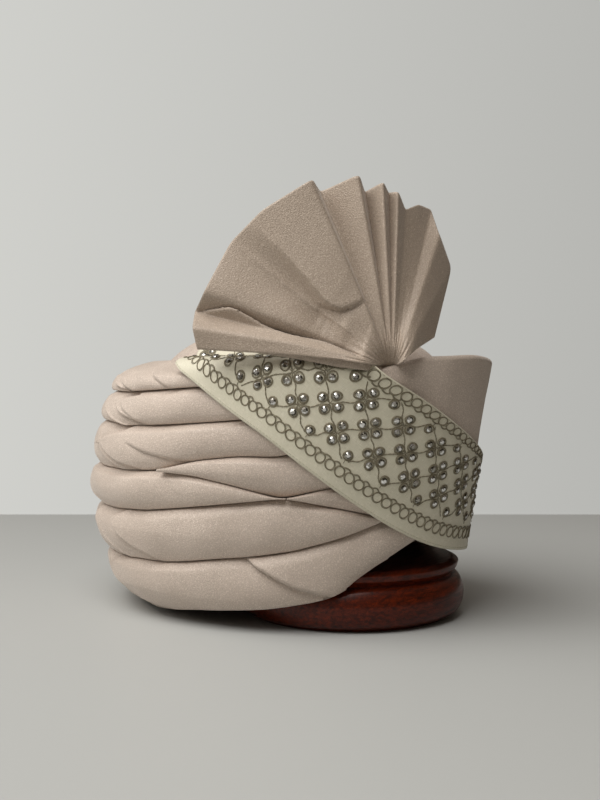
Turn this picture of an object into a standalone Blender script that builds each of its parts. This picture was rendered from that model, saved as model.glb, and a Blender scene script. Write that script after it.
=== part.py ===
# A tied turban (pagri) resting on a low turned wooden stand.
# Metres, +Z up. The origin is the centre of the stand's foot, on the surface that it stands on.
# The wearer's front is -Y. Angles round the turban run from the front (0) by the wearer's right
# side (90) and the back (180) to the wearer's left side (270).

from collections import namedtuple
from math import atan2, cos, pi, radians, sin, sqrt

import bmesh
import bpy
import numpy as np
from mathutils import Matrix, Vector
from mathutils.bvhtree import BVHTree

# Driving dimensions
TURBAN_LENGTH = 0.288
TURBAN_WIDTH = 0.234
TURBAN_HEIGHT = 0.170
TURBAN_SET_BACK = 0.048

HEAD_LENGTH = 0.196
HEAD_WIDTH = 0.158
CAP_SET_BACK = 0.038
CAP_WALL = 0.0025
CAP_WALL_HEIGHT = 0.150
CROWN_RISE = 0.043
CAP_FACETS = 28

CLEARANCE = 0.0003
ROLL_CLEARANCE = 0.0006
CAP_CLEARANCE = 0.0015
ROLL_GROOVE = 0.009
LEAST_ROLL_DEPTH = 0.003
SLEEVE_DEPTH = 0.0046

WRAP_THICKNESS = 0.003
BAND_THICKNESS = 0.002
BAND_LIFT = 0.0016
BAND_ROWS = 28
BAND_COLUMNS = 9
SHOULDER_ROUND = 0.0075

STONE_DIAMETER = 0.005
STONE_TABLE = 0.0028
STONE_RISE = 0.0014
STONE_SINK = 0.0008
PETAL_REACH = 0.0056
FLOWER_SPACING = 0.0285
FLOWER_ROW_SPACING = 0.0128
FIRST_FLOWER = 0.0567
FIRST_FLOWER_ROW = 0.0292

FAN_REACH = 0.117
FAN_FACING = 58
FAN_BASE_ANGLE = 28.5
FAN_BASE_RADIUS = 0.1236
FAN_BASE_HEIGHT = 0.1705
FAN_STEM_WIDTH = 0.009
FAN_STEM_LENGTH = 0.012
FAN_THICKNESS = 0.0014
FAN_SHARES = (0.08, 0.22, 0.45, 0.72, 1)

FOOT_RADIUS = 0.075
FOOT_HEIGHT = 0.029
COLLAR_RADIUS = 0.0715
COLLAR_HEIGHT = 0.009
POST_RADIUS = 0.018
BLOCK_RADIUS = 0.042
BLOCK_HEIGHT = 0.036
BLOCK_CROWN = 0.022
BLOCK_TOP = 0.1846
FOOT_EDGE = 0.008
BLOCK_EDGE = 0.004
POST_FLARE = 0.008

SILK = ((0.62, 0.50, 0.43), 0.62, 0.0)
CREAM = ((0.66, 0.62, 0.50), 0.7, 0.0)
WOOD = ((0.12, 0.025, 0.01), 0.3, 0.0)

# How full the turban is, as a share of its length and width.
# Columns: height (share of TURBAN_HEIGHT), front, back.
FULLNESS = (
    (0.00, 0.830, 0.740),
    (0.05, 0.830, 0.830),
    (0.12, 0.830, 0.905),
    (0.21, 0.830, 0.955),
    (0.35, 0.850, 0.995),
    (0.50, 0.875, 1.000),
    (0.59, 0.900, 1.000),
    (0.74, 0.927, 0.965),
    (0.84, 0.945, 0.910),
    (0.93, 0.967, 0.850),
    (1.00, 0.985, 0.780),
)

# The creases between the rolls. Each row: angle, height (share of TURBAN_HEIGHT).
CREASES = {
    "rim": (
        (-40, 0.259), (-20, 0.294), (0, 0.324), (12, 0.317), (21, 0.250), (30, 0.190),
        (39, 0.135), (46, 0.119), (66, 0.087), (98, 0.056), (123, 0.021), (140, 0.015),
        (220, 0.015), (237, 0.024), (262, 0.059), (294, 0.118), (310, 0.200), (320, 0.259),
    ),
    "first": (
        (-40, 0.506), (-15, 0.518), (5, 0.506), (18, 0.465), (28, 0.416), (42, 0.352),
        (56, 0.308), (72, 0.281), (85, 0.266), (100, 0.242), (109, 0.231), (120, 0.228),
        (133, 0.220), (170, 0.224), (210, 0.235), (240, 0.253), (266, 0.276), (294, 0.318),
        (320, 0.376),
    ),
    "second": (
        (15, 0.500), (22, 0.458), (29, 0.427), (38, 0.456), (59, 0.505), (75, 0.481),
        (91, 0.457), (112, 0.425), (133, 0.407), (170, 0.406), (210, 0.418), (240, 0.441),
        (266, 0.471), (294, 0.506), (320, 0.535), (372, 0.545),
    ),
    "third": (
        (15, 0.594), (30, 0.559), (44, 0.541), (60, 0.514), (75, 0.540), (90, 0.572),
        (107, 0.580), (122, 0.564), (140, 0.559), (170, 0.562), (210, 0.571), (240, 0.588),
        (266, 0.612), (294, 0.641), (320, 0.665), (372, 0.682),
    ),
    "fourth": (
        (24, 0.841), (44, 0.818), (59, 0.800), (74, 0.779), (91, 0.761), (109, 0.745),
        (128, 0.729), (140, 0.738), (170, 0.735), (210, 0.724), (240, 0.735), (266, 0.753),
        (294, 0.776), (320, 0.794), (372, 0.824), (386, 0.856), (396, 0.862),
    ),
    "fifth": (
        (30, 0.929), (59, 0.915), (74, 0.906), (92, 0.891), (110, 0.874), (131, 0.856),
        (143, 0.853), (170, 0.841), (210, 0.835), (240, 0.841), (266, 0.859), (294, 0.882),
        (320, 0.888), (396, 0.897),
    ),
    "crown": (
        (36, 0.936), (80, 0.936), (105, 0.942), (117, 0.938), (141, 0.928), (170, 0.918),
        (210, 0.918), (240, 0.924), (266, 0.941), (294, 0.959), (320, 0.953), (372, 0.941),
    ),
    "shoulder": (
        (-40, 0.985), (90, 0.982), (105, 0.975), (117, 0.960), (141, 0.942),
    ),
}
# Height of the wedge-shaped roll above the third crease: angle, share of TURBAN_HEIGHT.
WEDGE = ((15, 0.135), (30, 0.153), (44, 0.153), (59, 0.153), (74, 0.112), (92, 0.048), (107, 0.0))
CREASE_SOFTNESS_ANGLE = 4.0

# Where a right roll's folded rear end lies over the roll from the back.
# Columns: angle at the fold's upper end, how far its lower end comes forward.
SEAM_ANGLE = 147.0
SEAM_SWEEP_ANGLE = 20.0
SEAM_GAP_ANGLE = 0.3
SEAM_FADE_ANGLE = 60.0

# Rolls. Columns: name, crease below, crease above, first angle, last angle.
Roll = namedtuple("Roll", "name lower upper first last")
RIGHT_ROLLS = (
    Roll("roll_right_bottom", "rim", "first", -39.8, SEAM_ANGLE),
    Roll("roll_right_second", "first", "second", 29, SEAM_ANGLE),
    Roll("roll_right_tuck", "second", "third", 15, 55),
    Roll("roll_right_third", "second", "third", 62, SEAM_ANGLE + 14),
    Roll("roll_right_wedge", "third", "wedge", 16, 101),
    Roll("roll_right_fourth", "wedge", "fourth", 26, SEAM_ANGLE),
    Roll("roll_right_fifth", "fourth", "fifth", 37, SEAM_ANGLE),
    Roll("roll_right_top", "fifth", "crown", 39, SEAM_ANGLE),
)
LEFT_ROLLS = (
    Roll("roll_left_bottom", "rim", "first", SEAM_ANGLE, 320.0),
    Roll("roll_left_second", "first", "second", SEAM_ANGLE, 320.0),
    Roll("roll_left_third", "second", "third", SEAM_ANGLE + 14, 372),
    Roll("roll_left_fourth", "third", "fourth", SEAM_ANGLE, 375),
    Roll("roll_left_fifth", "fourth", "fifth", SEAM_ANGLE, 392),
    Roll("roll_left_top", "fifth", "crown", SEAM_ANGLE, 380),
)
# How deep the left rolls lie inside the front wrap: angle, share of SLEEVE_DEPTH.
SLEEVE = ((310, 0.0), (318, 1.0), (372, 1.0), (392, 2.0))
ROLL_STEP_ANGLE = 12
WRAP_EDGE_ANGLE = 318

# The wide plain wrap over the front.
# Columns: angle, lower edge, upper edge (shares of TURBAN_HEIGHT), how far the upper edge
# curls in (share of WRAP_THICKNESS).
WRAP = (
    (-39.8, 0.535, 0.935, 0.0),
    (-25, 0.547, 0.962, 0.0),
    (-10, 0.582, 0.988, 0.0),
    (3, 0.641, 1.006, 0.0),
    (12, 0.706, 1.003, 0.1),
    (20, 0.782, 1.003, 0.3),
    (27, 0.859, 0.976, 0.5),
    (35, 0.905, 0.950, 0.6),
)

# The embroidered band. It climbs from the left temple over the front and the right side, and its
# end is tucked beside the crown. Columns: angle and place of the lower edge, then of the upper
# edge. A place is the plan distance from the axis as the wall is folded flat outwards, as a share
# of TURBAN_HEIGHT: a point on the crown counts inside the shoulder, one on the wall outside it.
BAND = (
    (117, -0.085, 139, -0.100),
    (109, -0.045, 129, -0.155),
    (100, 0.000, 114, -0.225),
    (91, 0.043, 92, -0.280),
    (84, 0.092, 70, -0.265),
    (72, 0.182, 50, -0.175),
    (64, 0.241, 42, -0.100),
    (53, 0.348, 33, 0.015),
    (45, 0.419, 23, 0.088),
    (31, 0.544, 9, 0.208),
    (17, 0.636, -6, 0.306),
    (6, 0.678, -16, 0.347),
    (-8, 0.706, -26, 0.370),
    (-22, 0.720, -34, 0.382),
    (-39.8, 0.729, -39.8, 0.388),
)
BAND_WIDTH = 0.0745
STONES_TO = 0.93

# The fan's fold lines, clockwise from its lower left corner as it is seen from in front of it.
# Columns: how far its end lies to the right, up and back, and how far forward the line comes to
# pass over the band (shares of FAN_REACH).
FAN_FOLDS = (
    (-0.942, 0.043, 0.050, 0.184),
    (-0.970, 0.156, 0.033, 0.175),
    (-0.969, 0.235, 0.153, 0.167),
    (-0.920, 0.336, 0.033, 0.150),
    (-0.794, 0.588, 0.119, 0.128),
    (-0.634, 0.749, 0.050, 0.107),
    (-0.388, 0.900, -0.001, 0.094),
    (-0.348, 0.849, 0.170, 0.090),
    (-0.158, 0.927, 0.033, 0.085),
    (-0.126, 0.848, 0.180, 0.090),
    (-0.041, 0.890, 0.059, 0.090),
    (-0.012, 0.846, 0.177, 0.094),
    (0.030, 0.846, 0.110, 0.098),
    (0.068, 0.760, 0.196, 0.107),
    (0.139, 0.794, 0.290, 0.120),
    (0.209, 0.773, 0.392, 0.145),
    (0.309, 0.465, 0.392, 0.171),
    (0.202, 0.102, 0.256, 0.188),
)
# How much of that is left along a fold line: share of its length, share of the bulge.
FAN_BULGE = ((0, 0.0), (0.08, 0.97), (0.3, 1.06), (0.5, 0.95), (0.75, 0.62), (1, 0.1))


def material_for(name, look):
    color, roughness, metallic = look
    material = bpy.data.materials.get(name) or bpy.data.materials.new(name)
    material.use_nodes = True
    shader = material.node_tree.nodes["Principled BSDF"]
    shader.inputs["Base Color"].default_value = (*color, 1.0)
    shader.inputs["Roughness"].default_value = roughness
    shader.inputs["Metallic"].default_value = metallic
    material.diffuse_color = (*color, 1.0)
    return material


def object_from(name, mesh_builder, collection, material):
    """An object whose mesh is what is in mesh_builder, shaded smooth apart from sharp edges."""
    mesh = bpy.data.meshes.new(name)
    mesh_builder.to_mesh(mesh)
    mesh_builder.free()
    mesh.shade_smooth()
    mesh.set_sharp_from_angle(angle=radians(50))
    mesh.materials.append(material)
    made = bpy.data.objects.new(name, mesh)
    collection.objects.link(made)
    return made


def column(rows, place, index=1):
    """The column's value at a place, on straight lines between the rows."""
    ordered = sorted(rows)
    return float(np.interp(place, [r[0] for r in ordered], [r[index] for r in ordered]))


def soft_column(rows, place, index=1, softness=CREASE_SOFTNESS_ANGLE):
    """As column, with its corners rounded by a mean over nearby places."""
    return float(np.mean([column(rows, place + softness * k / 2, index) for k in (-2, -1, 0, 1, 2)]))


def fullness(angle, height):
    """Share of the full plan outline that the turban has at this angle and height."""
    share = height / TURBAN_HEIGHT
    front = column(FULLNESS, share, 1)
    back = column(FULLNESS, share, 2)
    to_front = (1 + cos(radians(angle))) / 2
    return back + (front - back) * to_front


def outline_radius(angle, height):
    """Distance from the turban's axis to its outermost cloth."""
    across = sin(radians(angle)) / (TURBAN_WIDTH / 2)
    along = cos(radians(angle)) / (TURBAN_LENGTH / 2)
    return fullness(angle, height) / sqrt(across**2 + along**2)


def cap_radius(angle):
    """Distance from the turban's axis to the outside of the cap's wall."""
    half_width = HEAD_WIDTH / 2 + CAP_WALL
    half_length = HEAD_LENGTH / 2 + CAP_WALL
    shift = TURBAN_SET_BACK - CAP_SET_BACK
    x, y = -sin(radians(angle)), -cos(radians(angle))
    a = (x / half_width) ** 2 + (y / half_length) ** 2
    b = 2 * y * shift / half_length**2
    c = (shift / half_length) ** 2 - 1
    return (-b + sqrt(b * b - 4 * a * c)) / (2 * a)


def turban_point(angle, radius, height):
    return Vector(
        (-radius * sin(radians(angle)), TURBAN_SET_BACK - radius * cos(radians(angle)), height)
    )


def crease_height(crease, angle):
    if crease == "wedge":
        rise = soft_column(WEDGE, angle) if angle < 320 else 0.0
        return crease_height("third", angle) + rise * TURBAN_HEIGHT
    return soft_column(CREASES[crease], angle) * TURBAN_HEIGHT


def loft(sections):
    """A closed solid through rings of points that have the same count."""
    bm = bmesh.new()
    rings = [[bm.verts.new(p) for p in ring] for ring in sections]
    count = len(rings[0])
    for a, b in zip(rings, rings[1:]):
        for k in range(count):
            n = (k + 1) % count
            bm.faces.new((a[k], a[n], b[n], b[k]))
    for end in (rings[0], rings[-1]):
        for k in range(1, count - 1):
            bm.faces.new((end[0], end[k], end[k + 1]))
    bmesh.ops.recalc_face_normals(bm, faces=bm.faces)
    return bm


def sheet(grid):
    """An open surface through rows of points."""
    bm = bmesh.new()
    rows = [[bm.verts.new(p) for p in row] for row in grid]
    for a, b in zip(rows, rows[1:]):
        for k in range(len(a) - 1):
            bm.faces.new((a[k], b[k], b[k + 1], a[k + 1]))
    bmesh.ops.triangulate(bm, faces=bm.faces, quad_method="SHORT_EDGE")
    return bm


def thicken(obj, thickness, offset):
    solidify = obj.modifiers.new("thickness", "SOLIDIFY")
    solidify.thickness = thickness
    solidify.offset = offset
    solidify.use_even_offset = True
    return solidify


def stand_reach(angle, radius):
    """Distance from the turban's axis to the edge of a disc of the stand."""
    nearer = TURBAN_SET_BACK * cos(radians(angle))
    return nearer + sqrt(radius**2 - (TURBAN_SET_BACK * sin(radians(angle))) ** 2)


def seam_shift(share, away):
    """How far forward a cross-section leans at this share of a roll's height."""
    return SEAM_SWEEP_ANGLE * (1 - share) ** 2.5 * max(0, 1 - away / SEAM_FADE_ANGLE)


def roll_section(roll, upper_angle, away):
    """The roll's cross-section whose upper end is at an angle, this far away from its seam."""
    outer_steps = 5
    points = []
    for k in range(outer_steps + 1):
        turn = pi * k / outer_steps
        share = (1 - cos(turn)) / 2
        angle = upper_angle - seam_shift(share, away)
        low = crease_height(roll.lower, angle) + ROLL_CLEARANCE / 2
        high = crease_height(roll.upper, angle) - ROLL_CLEARANCE / 2
        height = low + (high - low) * share
        inner = cap_radius(angle) + CAP_CLEARANCE
        if k == 0 and low < FOOT_HEIGHT + 2 * COLLAR_HEIGHT:
            radius = FOOT_RADIUS if low < FOOT_HEIGHT else COLLAR_RADIUS
            inner = max(inner, stand_reach(angle, radius) + CAP_CLEARANCE / 2)
        sleeve = column(SLEEVE, angle) * SLEEVE_DEPTH
        full = outline_radius(angle, height) - sleeve
        groove = min(ROLL_GROOVE, 0.45 * (high - low))
        radius = max(full - groove * (1 - sin(turn) ** 0.75), inner + LEAST_ROLL_DEPTH * 0.6)
        points.append(turban_point(angle, radius, height))
        if k == 0:
            bottom = turban_point(angle, inner, low)
        if k == outer_steps:
            top = turban_point(angle, inner, high)
    return [bottom, *points, top]


def make_roll(roll, on_right, collection, material):
    seam = roll.last if on_right else roll.first
    seam_end = seam - SEAM_GAP_ANGLE if on_right else seam + SEAM_GAP_ANGLE
    first, last = (roll.first, seam_end) if on_right else (seam_end, roll.last)
    grid = range(-30, 400, ROLL_STEP_ANGLE)
    between = [a for a in (*grid, WRAP_EDGE_ANGLE) if first + 4 < a < last - 4]
    between = [a for a in between if a == WRAP_EDGE_ANGLE or abs(a - WRAP_EDGE_ANGLE) > 4]
    has_seam = not on_right or roll.last >= SEAM_ANGLE
    sections = []
    for angle in sorted([first, *between, last]):
        away = abs(angle - seam) if has_seam else SEAM_FADE_ANGLE
        sections.append(roll_section(roll, angle, away))
    return object_from(roll.name, loft(sections), collection, material)


def cap_point(turn, height):
    """A point of the cap's outer wall, at a turn from the wearer's back round by the left side."""
    half_width = HEAD_WIDTH / 2 + CAP_WALL
    half_length = HEAD_LENGTH / 2 + CAP_WALL
    return Vector((half_width * sin(turn), CAP_SET_BACK + half_length * cos(turn), height))


def cap_rim(turn):
    """Height of the cap's rim, which stays above the stand's discs where they reach under it."""
    point = cap_point(turn, 0)
    angle = np.degrees(atan2(-point.x, TURBAN_SET_BACK - point.y)) % 360
    angle = angle - 360 if angle > 320 else angle
    rim = crease_height("rim", angle) + CLEARANCE
    if cap_radius(angle) - CAP_WALL < stand_reach(angle, FOOT_RADIUS) + 4 * CAP_CLEARANCE:
        return max(rim, FOOT_HEIGHT + COLLAR_HEIGHT + CAP_CLEARANCE)
    return rim


def make_cap(collection, material):
    """The head-shaped inner cap: a domed crown that is sewn to a wall of two halves."""
    steps = CAP_FACETS // 2
    split = CAP_WALL / 2 / HEAD_WIDTH
    for name, start in (("cap_wall_left", 0), ("cap_wall_right", pi)):
        turns = [start + split + (pi - 2 * split) * k / steps for k in range(steps + 1)]
        top = CAP_WALL_HEIGHT - CAP_WALL / 2
        grid = [[cap_point(t, cap_rim(t)), cap_point(t, top)] for t in turns]
        wall = object_from(name, sheet(grid), collection, material)
        thicken(wall, CAP_WALL, 1)
    bm = bmesh.new()
    bmesh.ops.create_uvsphere(bm, u_segments=CAP_FACETS, v_segments=10, radius=1.0)
    lower = [v for v in bm.verts if v.co.z < -1e-4]
    bmesh.ops.delete(bm, geom=lower, context="VERTS")
    half_width = HEAD_WIDTH / 2 + CAP_WALL
    half_length = HEAD_LENGTH / 2 + CAP_WALL
    bmesh.ops.scale(bm, vec=(half_width, half_length, CROWN_RISE), verts=bm.verts)
    bmesh.ops.translate(bm, vec=(0, CAP_SET_BACK, CAP_WALL_HEIGHT), verts=bm.verts)
    crown = object_from("crown_cap", bm, collection, material)
    thicken(crown, CAP_WALL, -1)


def make_front_wrap(collection, material):
    rises = (0, 0.25, 0.5, 0.75, 1)
    grid = []
    for angle in np.linspace(WRAP[-1][0], WRAP[0][0], 13):
        low, high, curl = (column(WRAP, angle, k) for k in (1, 2, 3))
        row = []
        for rise in rises:
            height = (low + (high - low) * rise) * TURBAN_HEIGHT
            inward = CLEARANCE + curl * WRAP_THICKNESS * rise
            row.append(turban_point(angle, outline_radius(angle, height) - inward, height))
        grid.append(row)
    wrap = object_from("front_wrap", sheet(grid), collection, material)
    thicken(wrap, WRAP_THICKNESS, -1)
    return wrap


def shoulder_height(angle):
    return crease_height("shoulder", angle) - SHOULDER_ROUND / 3


def shoulder_radius(angle):
    return outline_radius(angle, shoulder_height(angle))


def to_plan(angle, place):
    """A band row's place as a point of the plan in which the wall is folded flat outwards."""
    radius = shoulder_radius(angle) + place * TURBAN_HEIGHT
    return Vector((-radius * sin(radians(angle)), -radius * cos(radians(angle))))


def from_plan(point):
    """The point of the turban's outer surface that lies at this point of the plan.

    It is on the wall, on the flat top of the upper roll, or on the crown's dome."""
    angle = np.degrees(atan2(-point.x, -point.y))
    inside = shoulder_radius(angle) - point.length
    if inside <= 0:
        height = shoulder_height(angle) + inside
        return turban_point(angle, outline_radius(angle, height), height)
    turn = min(1, inside / SHOULDER_ROUND) * pi / 2
    height = shoulder_height(angle) + SHOULDER_ROUND / 3 * sin(turn)
    across = point.x / (HEAD_WIDTH / 2 + CAP_WALL)
    along = (point.y + TURBAN_SET_BACK - CAP_SET_BACK) / (HEAD_LENGTH / 2 + CAP_WALL)
    dome = CAP_WALL_HEIGHT + CROWN_RISE * sqrt(max(0, 1 - across**2 - along**2))
    return turban_point(angle, point.length, max(height, dome))


def band_surface(along, across):
    """The point under the band at shares of its length and width."""
    places = [k / (len(BAND) - 1) for k in range(len(BAND))]
    row = [
        float(np.interp(along, places, [r[c] for r in BAND])) for c in range(4)
    ]
    return from_plan(to_plan(row[0], row[1]).lerp(to_plan(row[2], row[3]), across))


def band_normal(along, across):
    step = 0.01
    u = band_surface(min(along + step, 1), across) - band_surface(max(along - step, 0), across)
    v = band_surface(along, min(across + step, 1)) - band_surface(along, max(across - step, 0))
    return u.cross(v).normalized()


def band_grid():
    """Rows of points under the band's cloth."""
    return [
        [
            band_surface(along, across) + band_normal(along, across) * BAND_LIFT
            for across in np.linspace(0, 1, BAND_COLUMNS)
        ]
        for along in np.linspace(0, 1, BAND_ROWS)
    ]


def band_lengths():
    """Shares along the band, each with the length of its middle line up to there."""
    shares = np.linspace(0, 1, 241)
    points = [band_surface(s, 0.5) for s in shares]
    steps = [0.0] + [(b - a).length for a, b in zip(points, points[1:])]
    return shares, np.cumsum(steps)


def stone_places():
    """Shares along and across the band of each stone: three rows of flowers of four."""
    shares, lengths = band_lengths()
    places = []
    for row in range(3):
        start = FIRST_FLOWER + (FLOWER_SPACING / 2 if row % 2 else 0)
        for center in np.arange(start, STONES_TO * lengths[-1], FLOWER_SPACING):
            for along, across in ((1, 0), (-1, 0), (0, 1), (0, -1)):
                distance = center + along * PETAL_REACH
                width = FIRST_FLOWER_ROW + row * FLOWER_ROW_SPACING + across * PETAL_REACH
                places.append((float(np.interp(distance, lengths, shares)), width / BAND_WIDTH))
    return places


def make_stones(cloth, collection, material):
    """Cut stones with a table and eight sides, each set into the band's cloth."""
    bm = bmesh.new()
    faces = BVHTree.FromBMesh(cloth)
    depth = STONE_RISE + STONE_SINK
    for along, across in stone_places():
        seat, normal, _, _ = faces.find_nearest(band_surface(along, across))
        turn = normal.to_track_quat("Z", "Y").to_matrix().to_4x4()
        middle = seat + normal * (BAND_THICKNESS + STONE_RISE - depth / 2)
        bmesh.ops.create_cone(
            bm, cap_ends=True, segments=8, radius1=STONE_DIAMETER / 2,
            radius2=STONE_TABLE / 2, depth=depth, matrix=Matrix.Translation(middle) @ turn,
        )
    return object_from("stones", bm, collection, material)


def make_band(collection, cutters, material):
    """The band's cloth with its stones fused into it."""
    cloth = sheet(band_grid())
    stones = make_stones(cloth, cutters, material)
    band = object_from("embroidered_band", cloth, collection, material)
    thicken(band, BAND_THICKNESS, 1).use_even_offset = False
    join = band.modifiers.new("stones", "BOOLEAN")
    join.operation = "UNION"
    join.object = stones
    return band


def fan_frame():
    """The fan's foot, and its directions to the right, back and up, as it is seen from in front."""
    facing = radians(FAN_FACING)
    right = Vector((cos(facing), -sin(facing), 0))
    back = Vector((sin(facing), cos(facing), 0))
    foot = turban_point(FAN_BASE_ANGLE, FAN_BASE_RADIUS, FAN_BASE_HEIGHT)
    return foot, right, back, Vector((0, 0, 1))


def make_fan(collection, material):
    """The pleated fan: its fold lines spread from a flat stem that is tucked behind the wrap.

    The pleats deepen with the square of the distance from the stem, which keeps its foot flat."""
    foot, right, back, up = fan_frame()
    last = len(FAN_FOLDS) - 1
    depths = [fold[2] for fold in FAN_FOLDS]
    padded = [depths[0], *depths, depths[-1]]
    grid = []
    for k, (aside, rise, behind, bulge) in enumerate(FAN_FOLDS):
        lean = (padded[k] + 2 * behind + padded[k + 2]) / 4
        low = foot + right * FAN_STEM_WIDTH * (k / last - 0.5)
        row = [low - up * FAN_STEM_LENGTH, low]
        for share in FAN_SHARES:
            depth = lean * share + (behind - lean) * share**2 - bulge * column(FAN_BULGE, share)
            reach = right * aside * share + up * rise * share + back * depth
            row.append(low + reach * FAN_REACH)
        grid.append(row)
    fan = object_from("pleated_fan", sheet(grid), collection, material)
    solidify = thicken(fan, FAN_THICKNESS, 0)
    solidify.use_even_offset = False
    return fan


def turned(name, profile, steps, collection, material):
    """A turned piece: radius and height rows from the top down the outer side, spun about Z."""
    mesh = bpy.data.meshes.new(name)
    points = [(r, 0, z) for r, z in profile]
    mesh.from_pydata(points, [(k, k + 1) for k in range(len(points) - 1)], [])
    mesh.materials.append(material)
    piece = bpy.data.objects.new(name, mesh)
    collection.objects.link(piece)
    screw = piece.modifiers.new("turning", "SCREW")
    screw.steps = screw.render_steps = steps
    screw.use_merge_vertices = True
    screw.merge_threshold = 0.00005
    screw.use_smooth_shade = True
    return piece


def bullnose(radius, low, high, depth, count):
    """Rows round a full half-round edge, from its upper corner to its lower one."""
    middle, half = (low + high) / 2, (high - low) / 2
    turns = [pi / 2 - pi * k / count for k in range(count + 1)]
    return [(radius - depth * (1 - cos(t)), middle + half * sin(t)) for t in turns]


def make_stand(collection, material):
    """A turned foot with a second, cupped disc on it, and a post that carries a rounded block."""
    base_top = FOOT_HEIGHT + COLLAR_HEIGHT
    foot = [
        (0, base_top),
        (COLLAR_RADIUS * 0.94, base_top),
        (COLLAR_RADIUS, base_top - COLLAR_HEIGHT / 4),
        (COLLAR_RADIUS * 0.985, base_top - COLLAR_HEIGHT * 2 / 3),
        (COLLAR_RADIUS * 0.945, FOOT_HEIGHT),
        *bullnose(FOOT_RADIUS, FOOT_HEIGHT * 0.07, FOOT_HEIGHT * 0.965, FOOT_EDGE, 6),
        (FOOT_RADIUS - FOOT_EDGE * 1.25, 0),
        (0, 0),
    ]
    block_low = BLOCK_TOP - BLOCK_HEIGHT
    block_side = BLOCK_TOP - BLOCK_CROWN
    crown = [
        (BLOCK_RADIUS * sin(t), block_side + BLOCK_CROWN * cos(t))
        for t in [pi / 2 * k / 6 for k in range(7)]
    ]
    post = [
        *crown,
        (BLOCK_RADIUS, block_low + BLOCK_EDGE),
        (BLOCK_RADIUS - BLOCK_EDGE, block_low),
        (POST_RADIUS + POST_FLARE, block_low),
        (POST_RADIUS, block_low - POST_FLARE),
        (POST_RADIUS, base_top + POST_FLARE),
        (POST_RADIUS + POST_FLARE, base_top + CLEARANCE),
        (0, base_top + CLEARANCE),
    ]
    turned("stand_foot", foot, 36, collection, material)
    turned("stand_post", post, 24, collection, material)


def main():
    for old in list(bpy.data.objects):
        bpy.data.objects.remove(old, do_unlink=True)
    turban = bpy.data.collections.new("turban_on_stand")
    cutters = bpy.data.collections.new("cutters")
    for made in (turban, cutters):
        bpy.context.scene.collection.children.link(made)

    silk = material_for("blush_silk", SILK)
    cream = material_for("cream_silk", CREAM)
    wood = material_for("polished_wood", WOOD)

    make_cap(turban, silk)
    for roll in RIGHT_ROLLS:
        make_roll(roll, True, turban, silk)
    for roll in LEFT_ROLLS:
        make_roll(roll, False, turban, silk)
    make_front_wrap(turban, silk)
    make_band(turban, cutters, cream)
    make_fan(turban, silk)
    make_stand(turban, wood)

    for cutter in cutters.objects:
        cutter.hide_render = True
        cutter.display_type = "WIRE"


main()
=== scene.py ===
import math

import bmesh
import bpy
import numpy as np
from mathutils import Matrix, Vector


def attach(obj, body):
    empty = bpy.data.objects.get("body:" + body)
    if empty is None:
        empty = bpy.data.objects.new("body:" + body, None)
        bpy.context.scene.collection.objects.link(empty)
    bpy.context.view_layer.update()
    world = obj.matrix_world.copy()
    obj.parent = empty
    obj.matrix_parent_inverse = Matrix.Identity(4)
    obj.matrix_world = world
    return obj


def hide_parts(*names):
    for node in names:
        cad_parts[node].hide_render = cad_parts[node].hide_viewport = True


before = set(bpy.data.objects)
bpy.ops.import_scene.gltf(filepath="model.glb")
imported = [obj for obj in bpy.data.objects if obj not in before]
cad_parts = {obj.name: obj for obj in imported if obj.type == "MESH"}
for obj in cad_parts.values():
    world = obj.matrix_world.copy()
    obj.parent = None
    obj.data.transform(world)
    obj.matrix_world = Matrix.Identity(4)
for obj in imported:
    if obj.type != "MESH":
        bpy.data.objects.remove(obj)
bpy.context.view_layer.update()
print("frame loaded")

mm = 0.001
dice = np.random.default_rng(11)


# Values along a line, blurred with a bell curve; size and reach are in steps.
def bellBlur(values, size, reach):
    bell = np.exp(-0.5 * (np.arange(-reach, reach + 1) / size) ** 2)
    return np.convolve(np.pad(values, reach, mode="edge"), bell / bell.sum(), "valid")


# Rows of (angle, value, ...) as a smooth curve, rounded over some degrees.
def softRows(rows, column=1, softness=2.8):
    rows, step = sorted(rows), 0.5
    grid = np.arange(-60, 420, step)
    values = np.interp(grid, [r[0] for r in rows], [r[column] for r in rows])
    smooth = bellBlur(values, softness / step, int(3 * softness / step))
    return lambda angle: np.interp(angle, grid, smooth)


# The turban's outline: metres, then how full it is from its foot to its top.
turban = {
    "length": 0.288, "width": 0.234, "height": 0.170, "setBack": 0.048,
    # share of the height, fullness at the front, fullness at the back
    "fullness": ((0, .83, .74), (.05, .83, .83), (.12, .83, .905), (.21, .83, .955), (.35, .85, .995),
                 (.5, .875, 1), (.59, .9, 1), (.74, .927, .965), (.84, .945, .91), (.93, .967, .85),
                 (1, .985, .78)),
}


# Metres from the turban's middle line to its outline.
def outlineRadius(angle, height):
    share = np.asarray(height) / turban["height"]
    rows = np.array(turban["fullness"])
    front = np.interp(share, rows[:, 0], rows[:, 1])
    back = np.interp(share, rows[:, 0], rows[:, 2])
    turn = np.radians(angle)
    full = back + (front - back) * (1 + np.cos(turn)) / 2
    across = np.sin(turn) / (turban["width"] / 2)
    along = np.cos(turn) / (turban["length"] / 2)
    return full / np.sqrt(across**2 + along**2)


def turbanPoint(angle, radius, height):
    turn = np.radians(angle)
    x = -radius * np.sin(turn)
    y = turban["setBack"] - radius * np.cos(turn)
    return np.stack(np.broadcast_arrays(x, y, height), axis=-1)


cap = {
    "width": 0.163, "length": 0.201, "setBack": 0.038, "wallTop": 0.150, "rise": 0.043,
    "thickness": 0.0025,
    "gathers": 37, "gather": 0.5, "swells": 5, "swell": 0.7,  # how many go round the dome, mm
}


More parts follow.
